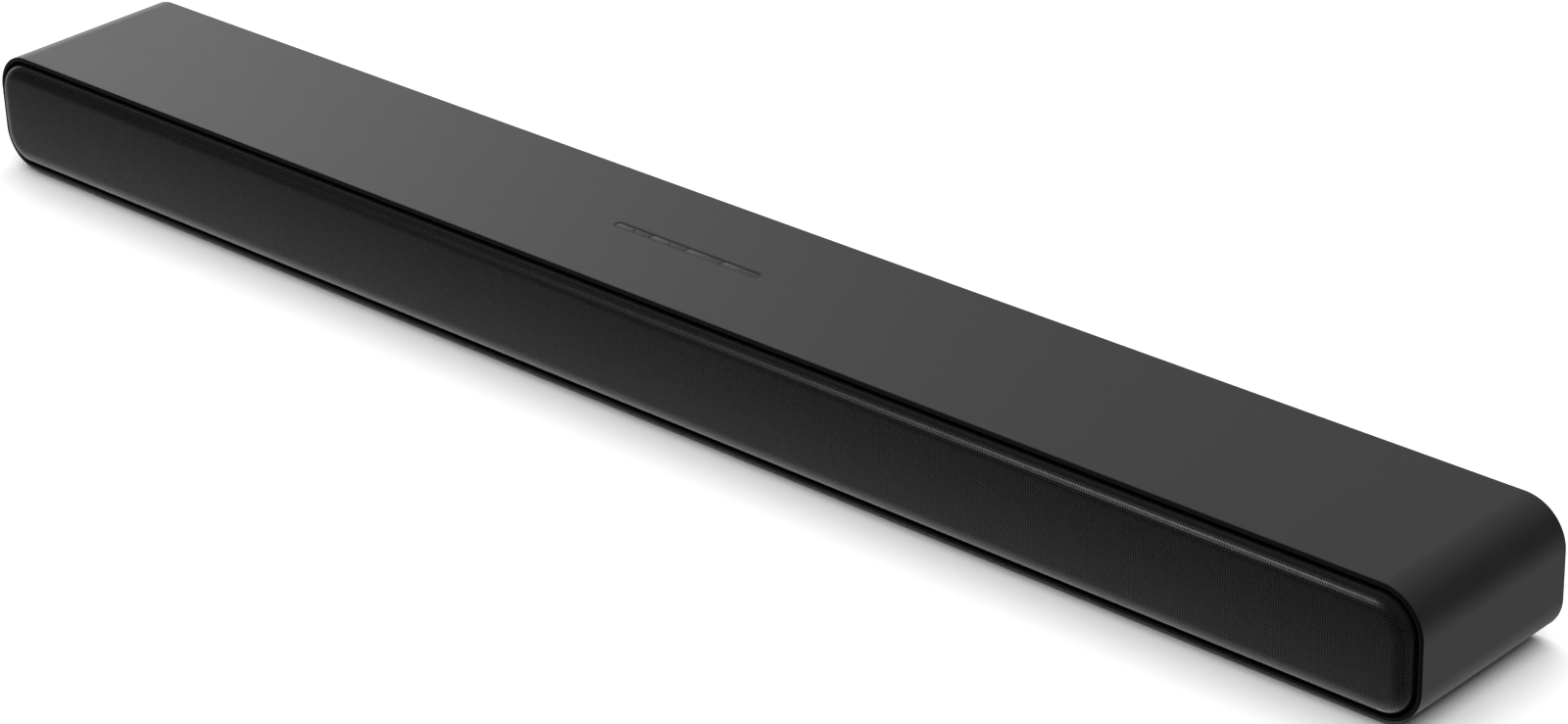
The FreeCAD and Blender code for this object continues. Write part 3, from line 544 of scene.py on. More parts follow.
@finish("circuit_board")
def circuit_board(slot):
    """Solder mask over copper: fine tracks as a faint lighter pattern, and a glassy coat."""
    nodes = Nodes(slot)
    spread_out = {"Vector": nodes.place, "Scale": 260.0}
    cells = nodes.add("ShaderNodeTexVoronoi", spread_out, feature="DISTANCE_TO_EDGE")
    tracks = nodes.add(
        "ShaderNodeMapRange", {"Value": cells.outputs["Distance"], "From Min": 0.03, "From Max": 0.06}
    ).outputs["Result"]
    tone = nodes.blend(tracks, (0.012, 0.075, 0.032), (0.006, 0.042, 0.019))
    return nodes.set(
        Base_Color=tone, Roughness=0.32, Normal=nodes.bump(tracks, 0.02 * MM),
        Coat_Weight=0.4, Coat_Roughness=0.2,
    )


@finish("switch_plastic")
def switch_plastic(slot):
    """Dark moulded body of a small switch."""
    return moulded(slot, (0.03, 0.03, 0.032), 0.45, grain=1800.0)


@finish("basket_steel")
def basket_steel(slot):
    """Black paint on stamped steel."""
    return moulded(slot, (0.014, 0.014, 0.015), 0.36, grain=700.0, depth=0.02 * MM)


@finish("magnet_steel")
def magnet_steel(slot):
    """Zinc-plated steel with turning marks."""
    return metal(slot, (0.46, 0.46, 0.47), 0.34, streak=(700.0, 60.0, 700.0))


@finish("gasket_foam")
def gasket_foam(slot):
    """Closed-cell foam: small round pits."""
    nodes = Nodes(slot)
    pits = nodes.add("ShaderNodeTexVoronoi", {"Vector": nodes.place, "Scale": 1400.0}).outputs["Distance"]
    # Painted shade: the colour is darker towards the bottom of each pit and lighter at its rim.
    tone = nodes.blend(pits, (0.008, 0.008, 0.008), (0.03, 0.03, 0.03))
    return nodes.set(Base_Color=tone, Roughness=0.95, Normal=nodes.bump(pits, 0.12 * MM))


@finish("surround_rubber")
def surround_rubber(slot):
    """Smooth flexible rubber roll."""
    return soft_rubber(slot, (0.010, 0.010, 0.011), rough=0.5)


@finish("cone_paper")
def cone_paper(slot):
    """Pressed fibre: short crossed fibres in tone and relief."""
    nodes = Nodes(slot)
    across = nodes.noise(1.0, detail=4.0, place=nodes.stretch((300.0, 300.0, 2400.0)))
    along = nodes.noise(1.0, detail=4.0, place=nodes.stretch((2400.0, 300.0, 300.0)))
    fibre = nodes.add("ShaderNodeMath", {0: across, 1: along}, operation="MULTIPLY").outputs[0]
    inputs = {"Value": fibre, "From Min": 0.1, "From Max": 0.4}
    share = nodes.add("ShaderNodeMapRange", inputs).outputs["Result"]
    tone = nodes.blend(share, (0.014, 0.0135, 0.013), (0.05, 0.048, 0.045))
    return nodes.set(Base_Color=tone, Roughness=0.85, Normal=nodes.bump(fibre, 0.10 * MM), Sheen_Weight=0.1)


@finish("dome_silk")
def dome_silk(slot):
    """Fine doped silk."""
    return woven(slot, (0.020, 0.020, 0.022), pitch=0.18 * MM, relief=0.03 * MM)


@finish("tweeter_plastic")
def tweeter_plastic(slot):
    """Matt moulding of the tweeter's flange."""
    return moulded(slot, (0.014, 0.014, 0.0145), 0.5, grain=1900.0)


@finish("bulkhead_plastic")
def bulkhead_plastic(slot):
    """Plain hidden moulding."""
    return moulded(slot, (0.017, 0.017, 0.0175), 0.6, grain=1100.0, depth=0.04 * MM)


@finish("wadding_fibre")
def wadding_fibre(slot):
    """Loose white fibre: tangled strands in relief, with painted shade that darkens the tone between the
    strands.
    """
    nodes = Nodes(slot)
    tangle = nodes.noise(700.0, detail=6.0, roughness=0.7)
    clumps = nodes.noise(120.0, detail=3.0)
    # Painted shade: the colour is darker where the tangle is low, between the strands.
    tone = nodes.blend(nodes.remap(tangle, 0.0, 1.0), (0.45, 0.44, 0.41), (0.86, 0.85, 0.82))
    below = nodes.bump(clumps, 1.5 * MM)
    return nodes.set(
        Base_Color=tone, Roughness=1.0, Normal=nodes.bump(tangle, 0.5 * MM, below=below), Sheen_Weight=0.5
    )


@finish("insert_brass")
def insert_brass(slot):
    """Turned brass."""
    return metal(slot, (0.72, 0.50, 0.20), 0.3, streak=(900.0, 2.0, 900.0))


@finish("screw_steel")
def screw_steel(slot):
    """Black oxide steel with a slight oil sheen."""
    return metal(slot, (0.055, 0.055, 0.06), 0.38, streak=(600.0, 600.0, 600.0))


@finish("board_screw_steel")
def board_screw_steel(slot):
    """Bright zinc-plated steel."""
    return metal(slot, (0.62, 0.62, 0.61), 0.3, streak=(600.0, 600.0, 600.0))


@finish("inlet_plastic")
def inlet_plastic(slot):
    """Semi-gloss black moulding of the mains inlet."""
    return moulded(slot, (0.010, 0.010, 0.0105), 0.28, grain=900.0, depth=0.006 * MM)


@finish("pin_metal")
def pin_metal(slot):
    """Nickel-plated pins."""
    return metal(slot, (0.74, 0.72, 0.68), 0.22, streak=(900.0, 3.0, 900.0))


@finish("socket_metal")
def socket_metal(slot):
    """Nickel-plated sheet of the socket shells."""
    return metal(slot, (0.60, 0.60, 0.59), 0.3, streak=(500.0, 5.0, 500.0))


@finish("optical_plastic")
def optical_plastic(slot):
    """Dark moulding of the optical socket."""
    return moulded(slot, (0.012, 0.012, 0.0125), 0.4, grain=1700.0)


@finish("jack_plastic")
def jack_plastic(slot):
    """Dark moulding of the audio jack."""
    return moulded(slot, (0.009, 0.009, 0.0095), 0.38, grain=1700.0)


@finish("tray_plastic")
def tray_plastic(slot):
    """Grey hidden moulding."""
    return moulded(slot, (0.035, 0.035, 0.036), 0.6, grain=1100.0, depth=0.04 * MM)


@finish("chip_epoxy")
def chip_epoxy(slot):
    """Moulded epoxy: a dry speckled black."""
    return moulded(slot, (0.010, 0.010, 0.0105), 0.66, grain=4200.0, depth=0.015 * MM, spread_share=0.3)


@finish("shield_metal")
def shield_metal(slot):
    """Tinned shielding can."""
    return metal(slot, (0.66, 0.66, 0.65), 0.36, streak=(12.0, 500.0, 500.0))


@finish("sink_aluminium")
def sink_aluminium(slot):
    """Extruded aluminium with draw lines along its fins."""
    return metal(slot, (0.68, 0.69, 0.70), 0.33, streak=(900.0, 4.0, 900.0))


@finish("transformer_tape")
def transformer_tape(slot):
    """Yellow polyester tape over a wound core, its turns showing as soft ribs."""
    nodes = Nodes(slot)
    settings = {"wave_type": "BANDS", "bands_direction": "Z"}
    ribs = nodes.add("ShaderNodeTexWave", {"Vector": nodes.place, "Scale": 120.0}, **settings).outputs["Fac"]
    stain = nodes.noise(150.0, detail=3.0)
    tone = nodes.blend(nodes.remap(stain, 0.0, 1.0), (0.45, 0.30, 0.03), (0.62, 0.45, 0.06))
    return nodes.set(Base_Color=tone, Roughness=0.3, Normal=nodes.bump(ribs, 0.08 * MM), Coat_Weight=0.3)


@finish("capacitor_sleeve")
def capacitor_sleeve(slot):
    """Dark shrink sleeve with faint folds."""
    nodes = Nodes(slot)
    folds = nodes.noise(1.0, detail=2.0, place=nodes.stretch((900.0, 900.0, 60.0)))
    # Painted light: the colour is darker in the folds' hollows and lighter on their ridges.
    tone = nodes.blend(nodes.remap(folds, 0.0, 1.0), (0.008, 0.009, 0.018), (0.016, 0.018, 0.034))
    return nodes.set(Base_Color=tone, Roughness=0.26, Normal=nodes.bump(folds, 0.02 * MM), Coat_Weight=0.3)


@finish("lens_plastic")
def lens_plastic(slot):
    """Cloudy light guide."""
    nodes = Nodes(slot)
    cloud = nodes.noise(500.0, detail=3.0)
    tone = nodes.blend(nodes.remap(cloud, 0.0, 1.0), (0.70, 0.72, 0.76), (0.88, 0.90, 0.93))
    return nodes.set(
        Base_Color=tone, Roughness=0.25, Transmission_Weight=0.7, IOR=1.49,
        Normal=nodes.bump(cloud, 0.01 * MM),
    )


@finish("receiver_plastic")
def receiver_plastic(slot):
    """Infrared-pass window: nearly black with a deep red body."""
    nodes = Nodes(slot)
    cloud = nodes.noise(600.0, detail=2.0)
    tone = nodes.blend(nodes.remap(cloud, 0.0, 1.0), (0.010, 0.002, 0.003), (0.022, 0.004, 0.006))
    return nodes.set(Base_Color=tone, Roughness=0.12, Normal=nodes.bump(cloud, 0.004 * MM), Coat_Weight=0.5)


@finish("label_film")
def label_film(slot):
    """Blank satin film, slightly lighter than the panel."""
    return moulded(slot, (0.05, 0.05, 0.052), 0.3, grain=900.0, depth=0.004 * MM, spread_share=0.08)


# ---- sizes and colours that a user would change -------------------------------------------


class SoundbarCase(bpy.types.PropertyGroup):
    """Looks of the sleeve, the keys and the feet."""

    colour: FloatVectorProperty(
        name="Colour", description="Colour of the sleeve and keys", default=(0.013, 0.013, 0.0133),
        min=0.0, max=1.0, subtype="COLOR",
    )
    gloss: FloatProperty(
        name="Roughness", description="Roughness of the sleeve", default=0.42, min=0.05, max=1.0,
        subtype="FACTOR",
    )
    edge: FloatProperty(
        name="Edge Radius", description="Rounding of the sleeve's outer edges", default=0.6 * MM,
        min=0.1 * MM, max=0.9 * MM, unit="LENGTH",
    )
    key_edge: FloatProperty(
        name="Key Edge Radius", description="Rounding of each key's top edge", default=0.25 * MM,
        min=0.05 * MM, max=0.5 * MM, unit="LENGTH",
    )
    mark_rise: FloatProperty(
        name="Key Mark Height", description="How far the marks stand out of the keys", default=0.08 * MM,
        min=0.0, max=0.1 * MM, unit="LENGTH",
    )


class SoundbarGrille(bpy.types.PropertyGroup):
    """Shape and looks of the grille."""

    colour: FloatVectorProperty(
        name="Colour", description="Colour of the coated steel", default=(0.006, 0.006, 0.0065),
        min=0.0, max=1.0, subtype="COLOR",
    )
    gloss: FloatProperty(
        name="Roughness", description="Roughness of the coating", default=0.28, min=0.05, max=1.0,
        subtype="FACTOR",
    )
    pitch: FloatProperty(
        name="Hole Pitch", description="Distance between holes", default=1.16 * MM, min=1.0 * MM,
        max=4.0 * MM, unit="LENGTH",
    )
    hole: FloatProperty(
        name="Hole Width", description="Width of a hole between its corners", default=0.66 * MM,
        min=0.2 * MM, max=0.9 * MM, unit="LENGTH",
    )
    roll: FloatProperty(
        name="Roll Width", description="How far the rounded rim reaches inwards", default=7.0 * MM,
        min=3.0 * MM, max=12.0 * MM, unit="LENGTH",
    )
    roll_depth: FloatProperty(
        name="Roll Depth", description="How far the rounded rim falls back", default=4.0 * MM,
        min=1.0 * MM, max=4.4 * MM, unit="LENGTH",
    )
    barrel: FloatProperty(
        name="Crown", description="Fall of the face from its middle to its long edges",
        default=0.8 * MM, min=0.0, max=3.0 * MM, unit="LENGTH",
    )
    end_fall: FloatProperty(
        name="End Fall", description="Extra fall of the face at each end", default=0.2 * MM, min=0.0,
        max=1.6 * MM, unit="LENGTH",
    )


class SoundbarStage(bpy.types.PropertyGroup):
    """Floor, light and camera."""

    floor_colour: FloatVectorProperty(
        name="Floor Colour", description="Colour of the floor", default=(0.95, 0.95, 0.95), min=0.0,
        max=1.0, subtype="COLOR",
    )
    room: FloatProperty(
        name="Room Light", description="Strength of the light from the room", default=1.0, min=0.0,
        max=10.0,
    )
    lens: FloatProperty(
        name="Lens", description="Focal length in millimetres", default=99.73, min=10.0, max=400.0,
    )


# ---- sleeve, feet and front frame ----------------------------------------------------------


def case_loop(inset, spacing=None):
    """The sleeve's outline, moved inwards."""
    low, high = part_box("wrap_cover")
    radii = np.array([CORNER_TOP, CORNER_TOP, CORNER_BOTTOM, CORNER_BOTTOM]) - inset
    sides = (low[0] + inset, high[0] - inset, low[2] + inset, high[2] - inset)
    return rounded_loop(*sides, radii, spacing)


def build_sleeve(look):
    """The sleeve: a wall's closed profile carried round the case's outline, less the strip's slot."""
    low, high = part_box("wrap_cover")
    edge = round_edge(look.edge)
    nose = edge + [0.0, low[1]]
    tail = (edge * [1, -1] + [0.0, high[1]])[::-1]
    inner = [
        (WALL - INNER_BEVEL, high[1]), (WALL, high[1] - INNER_BEVEL),
        (WALL, low[1] + INNER_BEVEL), (WALL - INNER_BEVEL, low[1]),
    ]
    loop, outward = case_loop(0.0)
    sleeve = ring_solid("wrap_sleeve", loop, outward, np.concatenate([nose, tail, inner]), "Y")
    slot_loop, slot_out = stadium_loop(0.0, 0.0, STRIP_LENGTH, STRIP_WIDTH)
    flare = [(0.0, high[2] - 2 * WALL), (0.0, high[2] - SLOT_EASE), (-2 * SLOT_EASE, high[2] + SLOT_EASE)]
    tool = capped_solid("strip_slot", slot_loop, slot_out, flare, "Z")
    cut_away(sleeve, tool)
    settle(sleeve, CASE_BODY, "case_shell", "wrap_cover")
    even_shading(sleeve)


def build_feet():
    """Each foot: an oval pad with a rounded foot and a shallow dish underneath."""
    edge = round_edge(FOOT_EDGE)
    for node in ("foot_front_left", "foot_front_right", "foot_back_left", "foot_back_right"):
        low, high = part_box(node)
        middle = [(low[axis] + high[axis]) / 2 for axis in (0, 1)]
        loop, outward = stadium_loop(*middle, high[0] - low[0], high[1] - low[1])
        profile = np.concatenate([[(0.0, high[2])], edge[::-1], [(1.4 * MM, 0.0), (1.8 * MM, 0.35 * MM)]])
        pad = capped_solid(node.replace("foot", "pad"), loop, outward, profile, "Z")
        settle(pad, CASE_BODY, "foot_rubber", node)
        even_shading(pad)


def build_front_frame():
    """The frame behind the grille: a closed profile with eased edges carried round the outline."""
    low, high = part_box("front_frame")
    outer = low[0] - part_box("wrap_cover")[0][0]
    inner = WALL + GROOVE + FRAME_LEDGE
    ease = 0.3 * MM
    profile = [
        (outer + ease, low[1]), (outer, low[1] + ease), (outer, high[1]), (inner, high[1]),
        (inner, low[1] + ease), (inner - ease, low[1]),
    ]
    frame_piece = ring_solid("groove_frame", *case_loop(0.0), profile, "Y")
    settle(frame_piece, CASE_BODY, "frame_plastic", "front_frame")
    even_shading(frame_piece)


# ---- grille ---------------------------------------------------------------------------------


class GrilleForm:
    """The grille's pillow: how far each point of the face lies behind its highest point."""

    def __init__(self, look):
        low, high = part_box("grille")
        self.front, self.back = low[1], high[1]
        self.half = np.array([high[0], (high[2] - low[2]) / 2])
        self.middle = (low[2] + high[2]) / 2
        inset = WALL + GROOVE
        self.radii = (CORNER_BOTTOM - inset, CORNER_TOP - inset)
        self.look = look

    def edge(self, x, z):
        """Distance inside the outline, and the direction that leads out of it.

        A point near a corner measures from the corner's arc, any other from the nearest side.
        """
        up = z - self.middle
        radius = np.where(up < 0, self.radii[0], self.radii[1])
        away = np.stack([np.abs(x), np.abs(up)], axis=1) - self.half + radius[:, None]
        corner = np.maximum(away, 0.0)
        length = np.linalg.norm(corner, axis=1)
        inside = radius - length - np.minimum(away.max(axis=1), 0.0)
        side = np.eye(2)[np.argmax(away, axis=1)]
        arc = corner / np.maximum(length, 1e-12)[:, None]
        outward = np.where((away > 0).all(axis=1)[:, None], arc, side)
        return inside, outward * np.sign(np.stack([x, up], axis=1))

    def crown(self, x, z):
        """Fall from the barrel across the face and the droop at its ends, with their slopes.

        The barrel falls with the square of the height above the middle, and the droop with the
        square of the distance past the line where it starts.
        """
        up = (z - self.middle) / self.half[1]
        past = np.maximum(np.abs(x) - (self.half[0] - END_REACH), 0.0) / END_REACH
        fall = self.look.barrel * up**2 + self.look.end_fall * past**2
        slope_x = 2 * self.look.end_fall * past / END_REACH * np.sign(x)
        slope_z = 2 * self.look.barrel * up / self.half[1]
        return fall, np.stack([slope_x, slope_z], axis=1)

    def face(self, x, z, turn=None, outward=None):
        """Points of the face and their outward normals.

        The rim is a quarter of an ellipse, as wide as the roll and as deep as its fall. Near it,
        turn is the angle round that ellipse, which is a right angle at the very edge.
        """
        if turn is None:
            inside, outward = self.edge(x, z)
            turn = np.arcsin(np.clip(1.0 - inside / self.look.roll, 0.0, 1.0))
        fall, slope = self.crown(x, z)
        depth = self.look.roll_depth * (1.0 - np.cos(turn)) + fall
        lean = self.look.roll_depth / self.look.roll * np.sin(turn)[:, None] * outward
        lean = lean + np.cos(turn)[:, None] * slope
        normal = np.stack([lean[:, 0], -np.cos(turn), lean[:, 1]], axis=1)
        normal /= np.linalg.norm(normal, axis=1)[:, None]
        return np.stack([x, self.front + depth, z], axis=1), normal


def shell(name, points, normals, faces, thickness):
    """Close a skin of triangles into a plate: the back is the front moved in along its normals."""
    count = len(points)
    edges = np.concatenate([faces[:, [k, (k + 1) % 3]] for k in range(3)])
    key = edges.min(axis=1).astype(np.int64) * count + edges.max(axis=1)
    _, first, uses = np.unique(key, return_index=True, return_counts=True)
    start, end = edges[first[uses == 1]].T
    sides = np.stack([end, start, start + count, end + count], axis=1)
    solid = np.concatenate([points, points - normals * thickness])
    return set_mesh(name, solid, [faces, faces[:, ::-1] + count, sides], sharp=50.0)


CELL_FACES = np.array([
    (4, 3, 0), (4, 0, 5), (5, 0, 6), (6, 0, 1), (6, 1, 7),
    (7, 1, 2), (7, 2, 8), (8, 2, 9), (9, 2, 3), (9, 3, 4),
])
CELL_CORNERS = np.array([(1, 1), (0, 1), (0, 0), (1, 0)])


class HoleGrid:
    """A square grid of cells, each with a six-sided hole, where they fit inside the rim."""

    def __init__(self, form, look):
        self.look = look
        half = form.half - RIM_INSET
        self.count = np.floor(2 * half / look.pitch).astype(int)
        start = -self.count * look.pitch / 2 + [0.0, form.middle]
        self.across = start[0] + np.arange(self.count[0] + 1) * look.pitch
        self.up = start[1] + np.arange(self.count[1] + 1) * look.pitch
        x, z = np.meshgrid(self.across, self.up, indexing="ij")
        inside = form.edge(x.ravel(), z.ravel())[0].reshape(x.shape) > RIM_INSET
        self.mask = inside[1:, 1:] & inside[1:, :-1] & inside[:-1, 1:] & inside[:-1, :-1]

    def corner_index(self, column, row):
        """Indices of each cell's four corners."""
        corners = CELL_CORNERS[None, :, :] + np.stack([column, row], axis=1)[:, None, :]
        return corners[:, :, 0] * (self.count[1] + 1) + corners[:, :, 1]

    def skin(self, form, first, last):
        """Points, normals and triangles of the cells between two columns."""
        column, row = np.nonzero(self.mask[first:last])
        corners = self.corner_index(column + first, row)
        used, corners = np.unique(corners, return_inverse=True)
        corners = corners.reshape(-1, 4)
        rows = self.count[1] + 1
        x, z = self.across[used // rows], self.up[used % rows]
        turn = np.arange(6) * 4 * QUARTER / 6
        middle = np.stack([self.across[column + first], self.up[row]], axis=1) + self.look.pitch / 2
        holes = middle[:, None, :] + self.look.hole / 2 * np.stack([np.cos(turn), np.sin(turn)], axis=1)
        hexes = len(used) + np.arange(len(column) * 6).reshape(-1, 6)
        points, normals = form.face(
            np.concatenate([x, holes[:, :, 0].ravel()]), np.concatenate([z, holes[:, :, 1].ravel()])
        )
        faces = np.concatenate([corners, hexes], axis=1)[:, CELL_FACES].reshape(-1, 3)
        return points, normals, faces

    def border(self):
        """The stepped edge round all the cells: its points, and pairs of indices into them."""
        column, row = np.nonzero(self.mask)
        corners = self.corner_index(column, row)
        edges = np.concatenate([corners[:, [k, (k + 1) % 4]] for k in range(4)])
        _, first, uses = np.unique(np.sort(edges, axis=1), axis=0, return_index=True, return_counts=True)
        edges = edges[first[uses == 1]]
        used, pairs = np.unique(edges, return_inverse=True)
        rows = self.count[1] + 1
        spots = np.stack([self.across[used // rows], self.up[used % rows]], axis=1)
        return spots, pairs.reshape(-1, 2)

    def holds(self, spots):
        """Whether each spot lies in a cell that has a hole."""
        cell = np.floor((spots - [self.across[0], self.up[0]]) / self.look.pitch).astype(int)
        clipped = np.clip(cell, 0, np.array(self.mask.shape) - 1)
        return self.mask[clipped[:, 0], clipped[:, 1]] & (cell == clipped).all(axis=1)


def rim_loop(form, look):
    low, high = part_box("grille")
    radii = (form.radii[1], form.radii[1], form.radii[0], form.radii[0])
    return rounded_loop(low[0], high[0], low[2], high[2], radii, spacing=look.pitch)


def build_rim(form, grid, look):
    """The plain rim: a quarter ellipse carried round the outline, then a straight side wall.

    Between the ellipse and the stepped edge of the cells, a flat triangulation fills the band.
    """
    loop, outward = rim_loop(form, look)
    start = math.asin(1.0 - RIM_INSET * RING_SHARE / look.roll)
    turns = np.linspace(start, QUARTER, RING_STEPS)
    inset = look.roll * (1.0 - np.sin(turns))
    spots = loop[None] - outward[None] * inset[:, None, None]
    spread_turn = np.repeat(turns, len(loop))
    ring_out = np.tile(outward, (RING_STEPS, 1))
    flat = spots.reshape(-1, 2)
    ring, ring_normals = form.face(flat[:, 0], flat[:, 1], spread_turn, ring_out)
    wall = ring[-len(loop):].copy()
    wall[:, 1] = form.back
    ring = np.concatenate([ring, wall])
    ring_normals = np.concatenate([ring_normals, ring_normals[-len(loop):]])
    quads = grid_quads(RING_STEPS + 1, len(loop))[:, ::-1]
    ring_faces = np.concatenate([quads[:, [0, 1, 2]], quads[:, [0, 2, 3]]])

    steps, pairs = grid.border()
    count = len(loop)
    inner = spots[0]
    around = np.stack([np.arange(count), (np.arange(count) + 1) % count], axis=1)
    plan = [Vector(spot) for spot in np.concatenate([inner, steps]).tolist()]
    links = np.concatenate([around, pairs + count]).tolist()
    result = delaunay_2d_cdt(plan, links, [], 1, 1e-7)
    filled = np.array(result[0])[:, :2]
    source = np.array([indices[0] for indices in result[3]])
    triangles = np.array(result[2])
    triangles = triangles[~grid.holds(filled[triangles].mean(axis=1))]
    a, b, c = (filled[triangles[:, k]] for k in range(3))
    turned = np.cross(b - a, c - a) < 0
    triangles[turned] = triangles[turned][:, ::-1]
    step_points, step_normals = form.face(steps[:, 0], steps[:, 1])
    points = np.concatenate([ring, step_points])
    normals = np.concatenate([ring_normals, step_normals])
    index = np.where(source < count, source, source - count + len(ring))
    faces = np.concatenate([ring_faces, index[triangles]])
    rim = shell("grille_rim", points, normals, faces, GRILLE_STEEL)
    settle(rim, CASE_BODY, "grille_metal", "grille")


def build_grille(look):
    """The perforated grille: a rim, and panels of cells that lie on the pillow."""
    form = GrilleForm(look)
    grid = HoleGrid(form, look)
    build_rim(form, grid, look)
    cuts = np.linspace(0, grid.count[0], PANELS + 1).astype(int)
    for number in range(PANELS):
        skin = grid.skin(form, cuts[number], cuts[number + 1])
        panel = shell("grille_panel_%d" % (number + 1), *skin, GRILLE_STEEL)
        settle(panel, CASE_BODY, "grille_metal", "grille")


def build_cloth(look):
    """The stretched cloth: columns across the outline, each from its lower to its upper arc.

    At a place along the bar, the column's ends lie on the outline's corner arcs, and the cloth
    keeps one gap behind the grille's steel.
    """
    form = GrilleForm(look)
    low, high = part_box("grille_cloth")
    inset = (high[0] - low[0]) / -2 + form.half[0]
    radii = [radius - inset for radius in form.radii]
    share = np.linspace(-QUARTER, QUARTER, CLOTH_COLUMNS)
    x = high[0] * np.clip(np.sin(share), -1.0, 1.0)
    ends = []
    for radius, edge, sign in zip(radii, (low[2], high[2]), (1, -1)):
        past = np.clip(np.abs(x) - (high[0] - radius), 0.0, radius)
        ends.append(edge + sign * (radius - np.sqrt(np.maximum(radius**2 - past**2, 0.0))))
    up = np.linspace(0.0, 1.0, CLOTH_ROWS)
    z = ends[0][:, None] + (ends[1] - ends[0])[:, None] * up
    grid_x = np.repeat(x[:, None], CLOTH_ROWS, axis=1)
    points, normals = form.face(grid_x.ravel(), z.ravel())
    points = points - normals * (GRILLE_STEEL + CLOTH_GAP)
    quads = grid_quads(CLOTH_COLUMNS, CLOTH_ROWS, wrap_columns=False)
    faces = np.concatenate([quads[:, [0, 1, 2]], quads[:, [0, 2, 3]]])
    cloth = shell("stretched_cloth", points, normals, faces, CLOTH_THICK)
    settle(cloth, CASE_BODY, "acoustic_cloth", "grille_cloth")


# ---- control strip --------------------------------------------------------------------------


def build_bezel(look):
    """The strip's rim with eased edges, its flange under the roof and its two legs."""
    low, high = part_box("control_bezel")
    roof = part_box("wrap_cover")[1][2]
    ceiling = roof - WALL
    length, width = STRIP_LENGTH - 2 * SLIP, STRIP_WIDTH - 2 * SLIP
    loop, outward = stadium_loop(0.0, 0.0, length, width)
    ease = SLOT_EASE
    bottom = high[2] - BEZEL_HEIGHT
    profile = [
        (ease, high[2]), (0.0, high[2] - ease), (0.0, bottom), (BEZEL_WALL, bottom),
        (BEZEL_WALL, high[2] - ease), (BEZEL_WALL - ease, high[2]),
    ]
    rim = ring_solid("bezel_rim", loop, outward, profile, "Z")
    flange_out = -(FLANGE_REACH + SLIP)
    band = [
        (flange_out, ceiling), (flange_out, ceiling - FLANGE_THICK), (BEZEL_WALL / 2, ceiling - FLANGE_THICK),
        (BEZEL_WALL / 2, ceiling),
    ]
    flange = ring_solid("bezel_flange", loop, outward, band, "Z")
    legs = []
    for sign in (-1, 1):
        middle = sign * (STRIP_LENGTH + FLANGE_REACH) / 2
        half = FLANGE_REACH / 4
        leg = rounded_loop(middle - half, middle + half, -STRIP_WIDTH / 2, STRIP_WIDTH / 2, [0.3 * MM] * 4)
        legs.append(capped_solid("bezel_leg", *leg, [(0.0, low[2]), (0.0, ceiling - SLIP)], "Z"))
    settle(join("strip_bezel", [rim, flange] + legs), CASE_BODY, "bezel_plastic", "control_bezel")


def bar_mark(name, across, length, width, low, high, along=True):
    """A raised rounded bar."""
    size = (length, width) if along else (width, length)
    sides = (across - size[0] / 2, across + size[0] / 2, -size[1] / 2, size[1] / 2)
    loop, outward = rounded_loop(*sides, [width * 0.45] * 4)
    return capped_solid(name, loop, outward, [(0.0, low), (0.0, high - 0.02 * MM), (0.02 * MM, high)], "Z")


def ring_mark(name, across, radius, width, low, high):
    """A raised ring."""
    loop, outward = circle_loop(across, 0.0, radius, steps=32)
    ease = 0.02 * MM
    profile = [
        (0.0, low), (0.0, high - ease), (ease, high),
        (width - ease, high), (width, high - ease), (width, low),
    ]
    return ring_solid(name, loop, outward, profile, "Z")


def key_marks(key, across, low, high):
    """Plain raised marks: a ring and bar, a dot in a ring, a minus and a plus."""
    line = 0.22 * MM
    size = 1.7 * MM
    if key == "power":
        ring = ring_mark("mark", across, size / 2, line, low, high)
        return [ring, bar_mark("mark", across, size / 2, line, low, high, along=False)]
    if key == "source":
        dot = capped_solid("mark", *circle_loop(across, 0.0, line * 1.3, 20), [(0.0, low), (0.0, high)], "Z")
        return [ring_mark("mark", across, size / 2, line, low, high), dot]
    bars = [bar_mark("mark", across, size, line, low, high)]
    if key == "volume_up":
        bars.append(bar_mark("mark", across, size, line, low, high, along=False))
    return bars


def build_keys(look):
    """Each key: a cap with a rounded top edge over a thin flange, and a raised mark."""
    play = SLIP + BEZEL_WALL + KEY_GAP
    half = STRIP_WIDTH / 2 - play
    edge = round_edge(look.key_edge, steps=4)
    for number, key in enumerate(KEYS):
        low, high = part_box("key_" + key)
        soft, round_end = 0.3 * MM, half * 0.999
        right = round_end if number == len(KEYS) - 1 else soft
        left = round_end if number == 0 else soft
        loop, outward = rounded_loop(low[0], high[0], -half, half, (right, left, left, right))
        top = high[2] - look.mark_rise
        profile = np.concatenate([[(0.0, low[2])], (edge * [1, -1] + [0.0, top])[::-1]])
        cap = capped_solid("key_cap", loop, outward, profile, "Z")
        base_loop = rounded_loop(low[0], high[0], low[1], high[1], [0.2 * MM] * 4)
        base = capped_solid("key_base", *base_loop, [(0.0, low[2]), (0.0, low[2] + KEY_FLANGE)], "Z")
        middle = (low[0] + high[0]) / 2
        marks = key_marks(key, middle, top - 0.1 * MM, high[2])
        piece = join("%s_key" % key, [cap, base] + marks)
        settle(piece, "key_%s_body" % key, "key_rubber", "key_" + key)


# ---- back: screws and threaded inserts -------------------------------------------------------


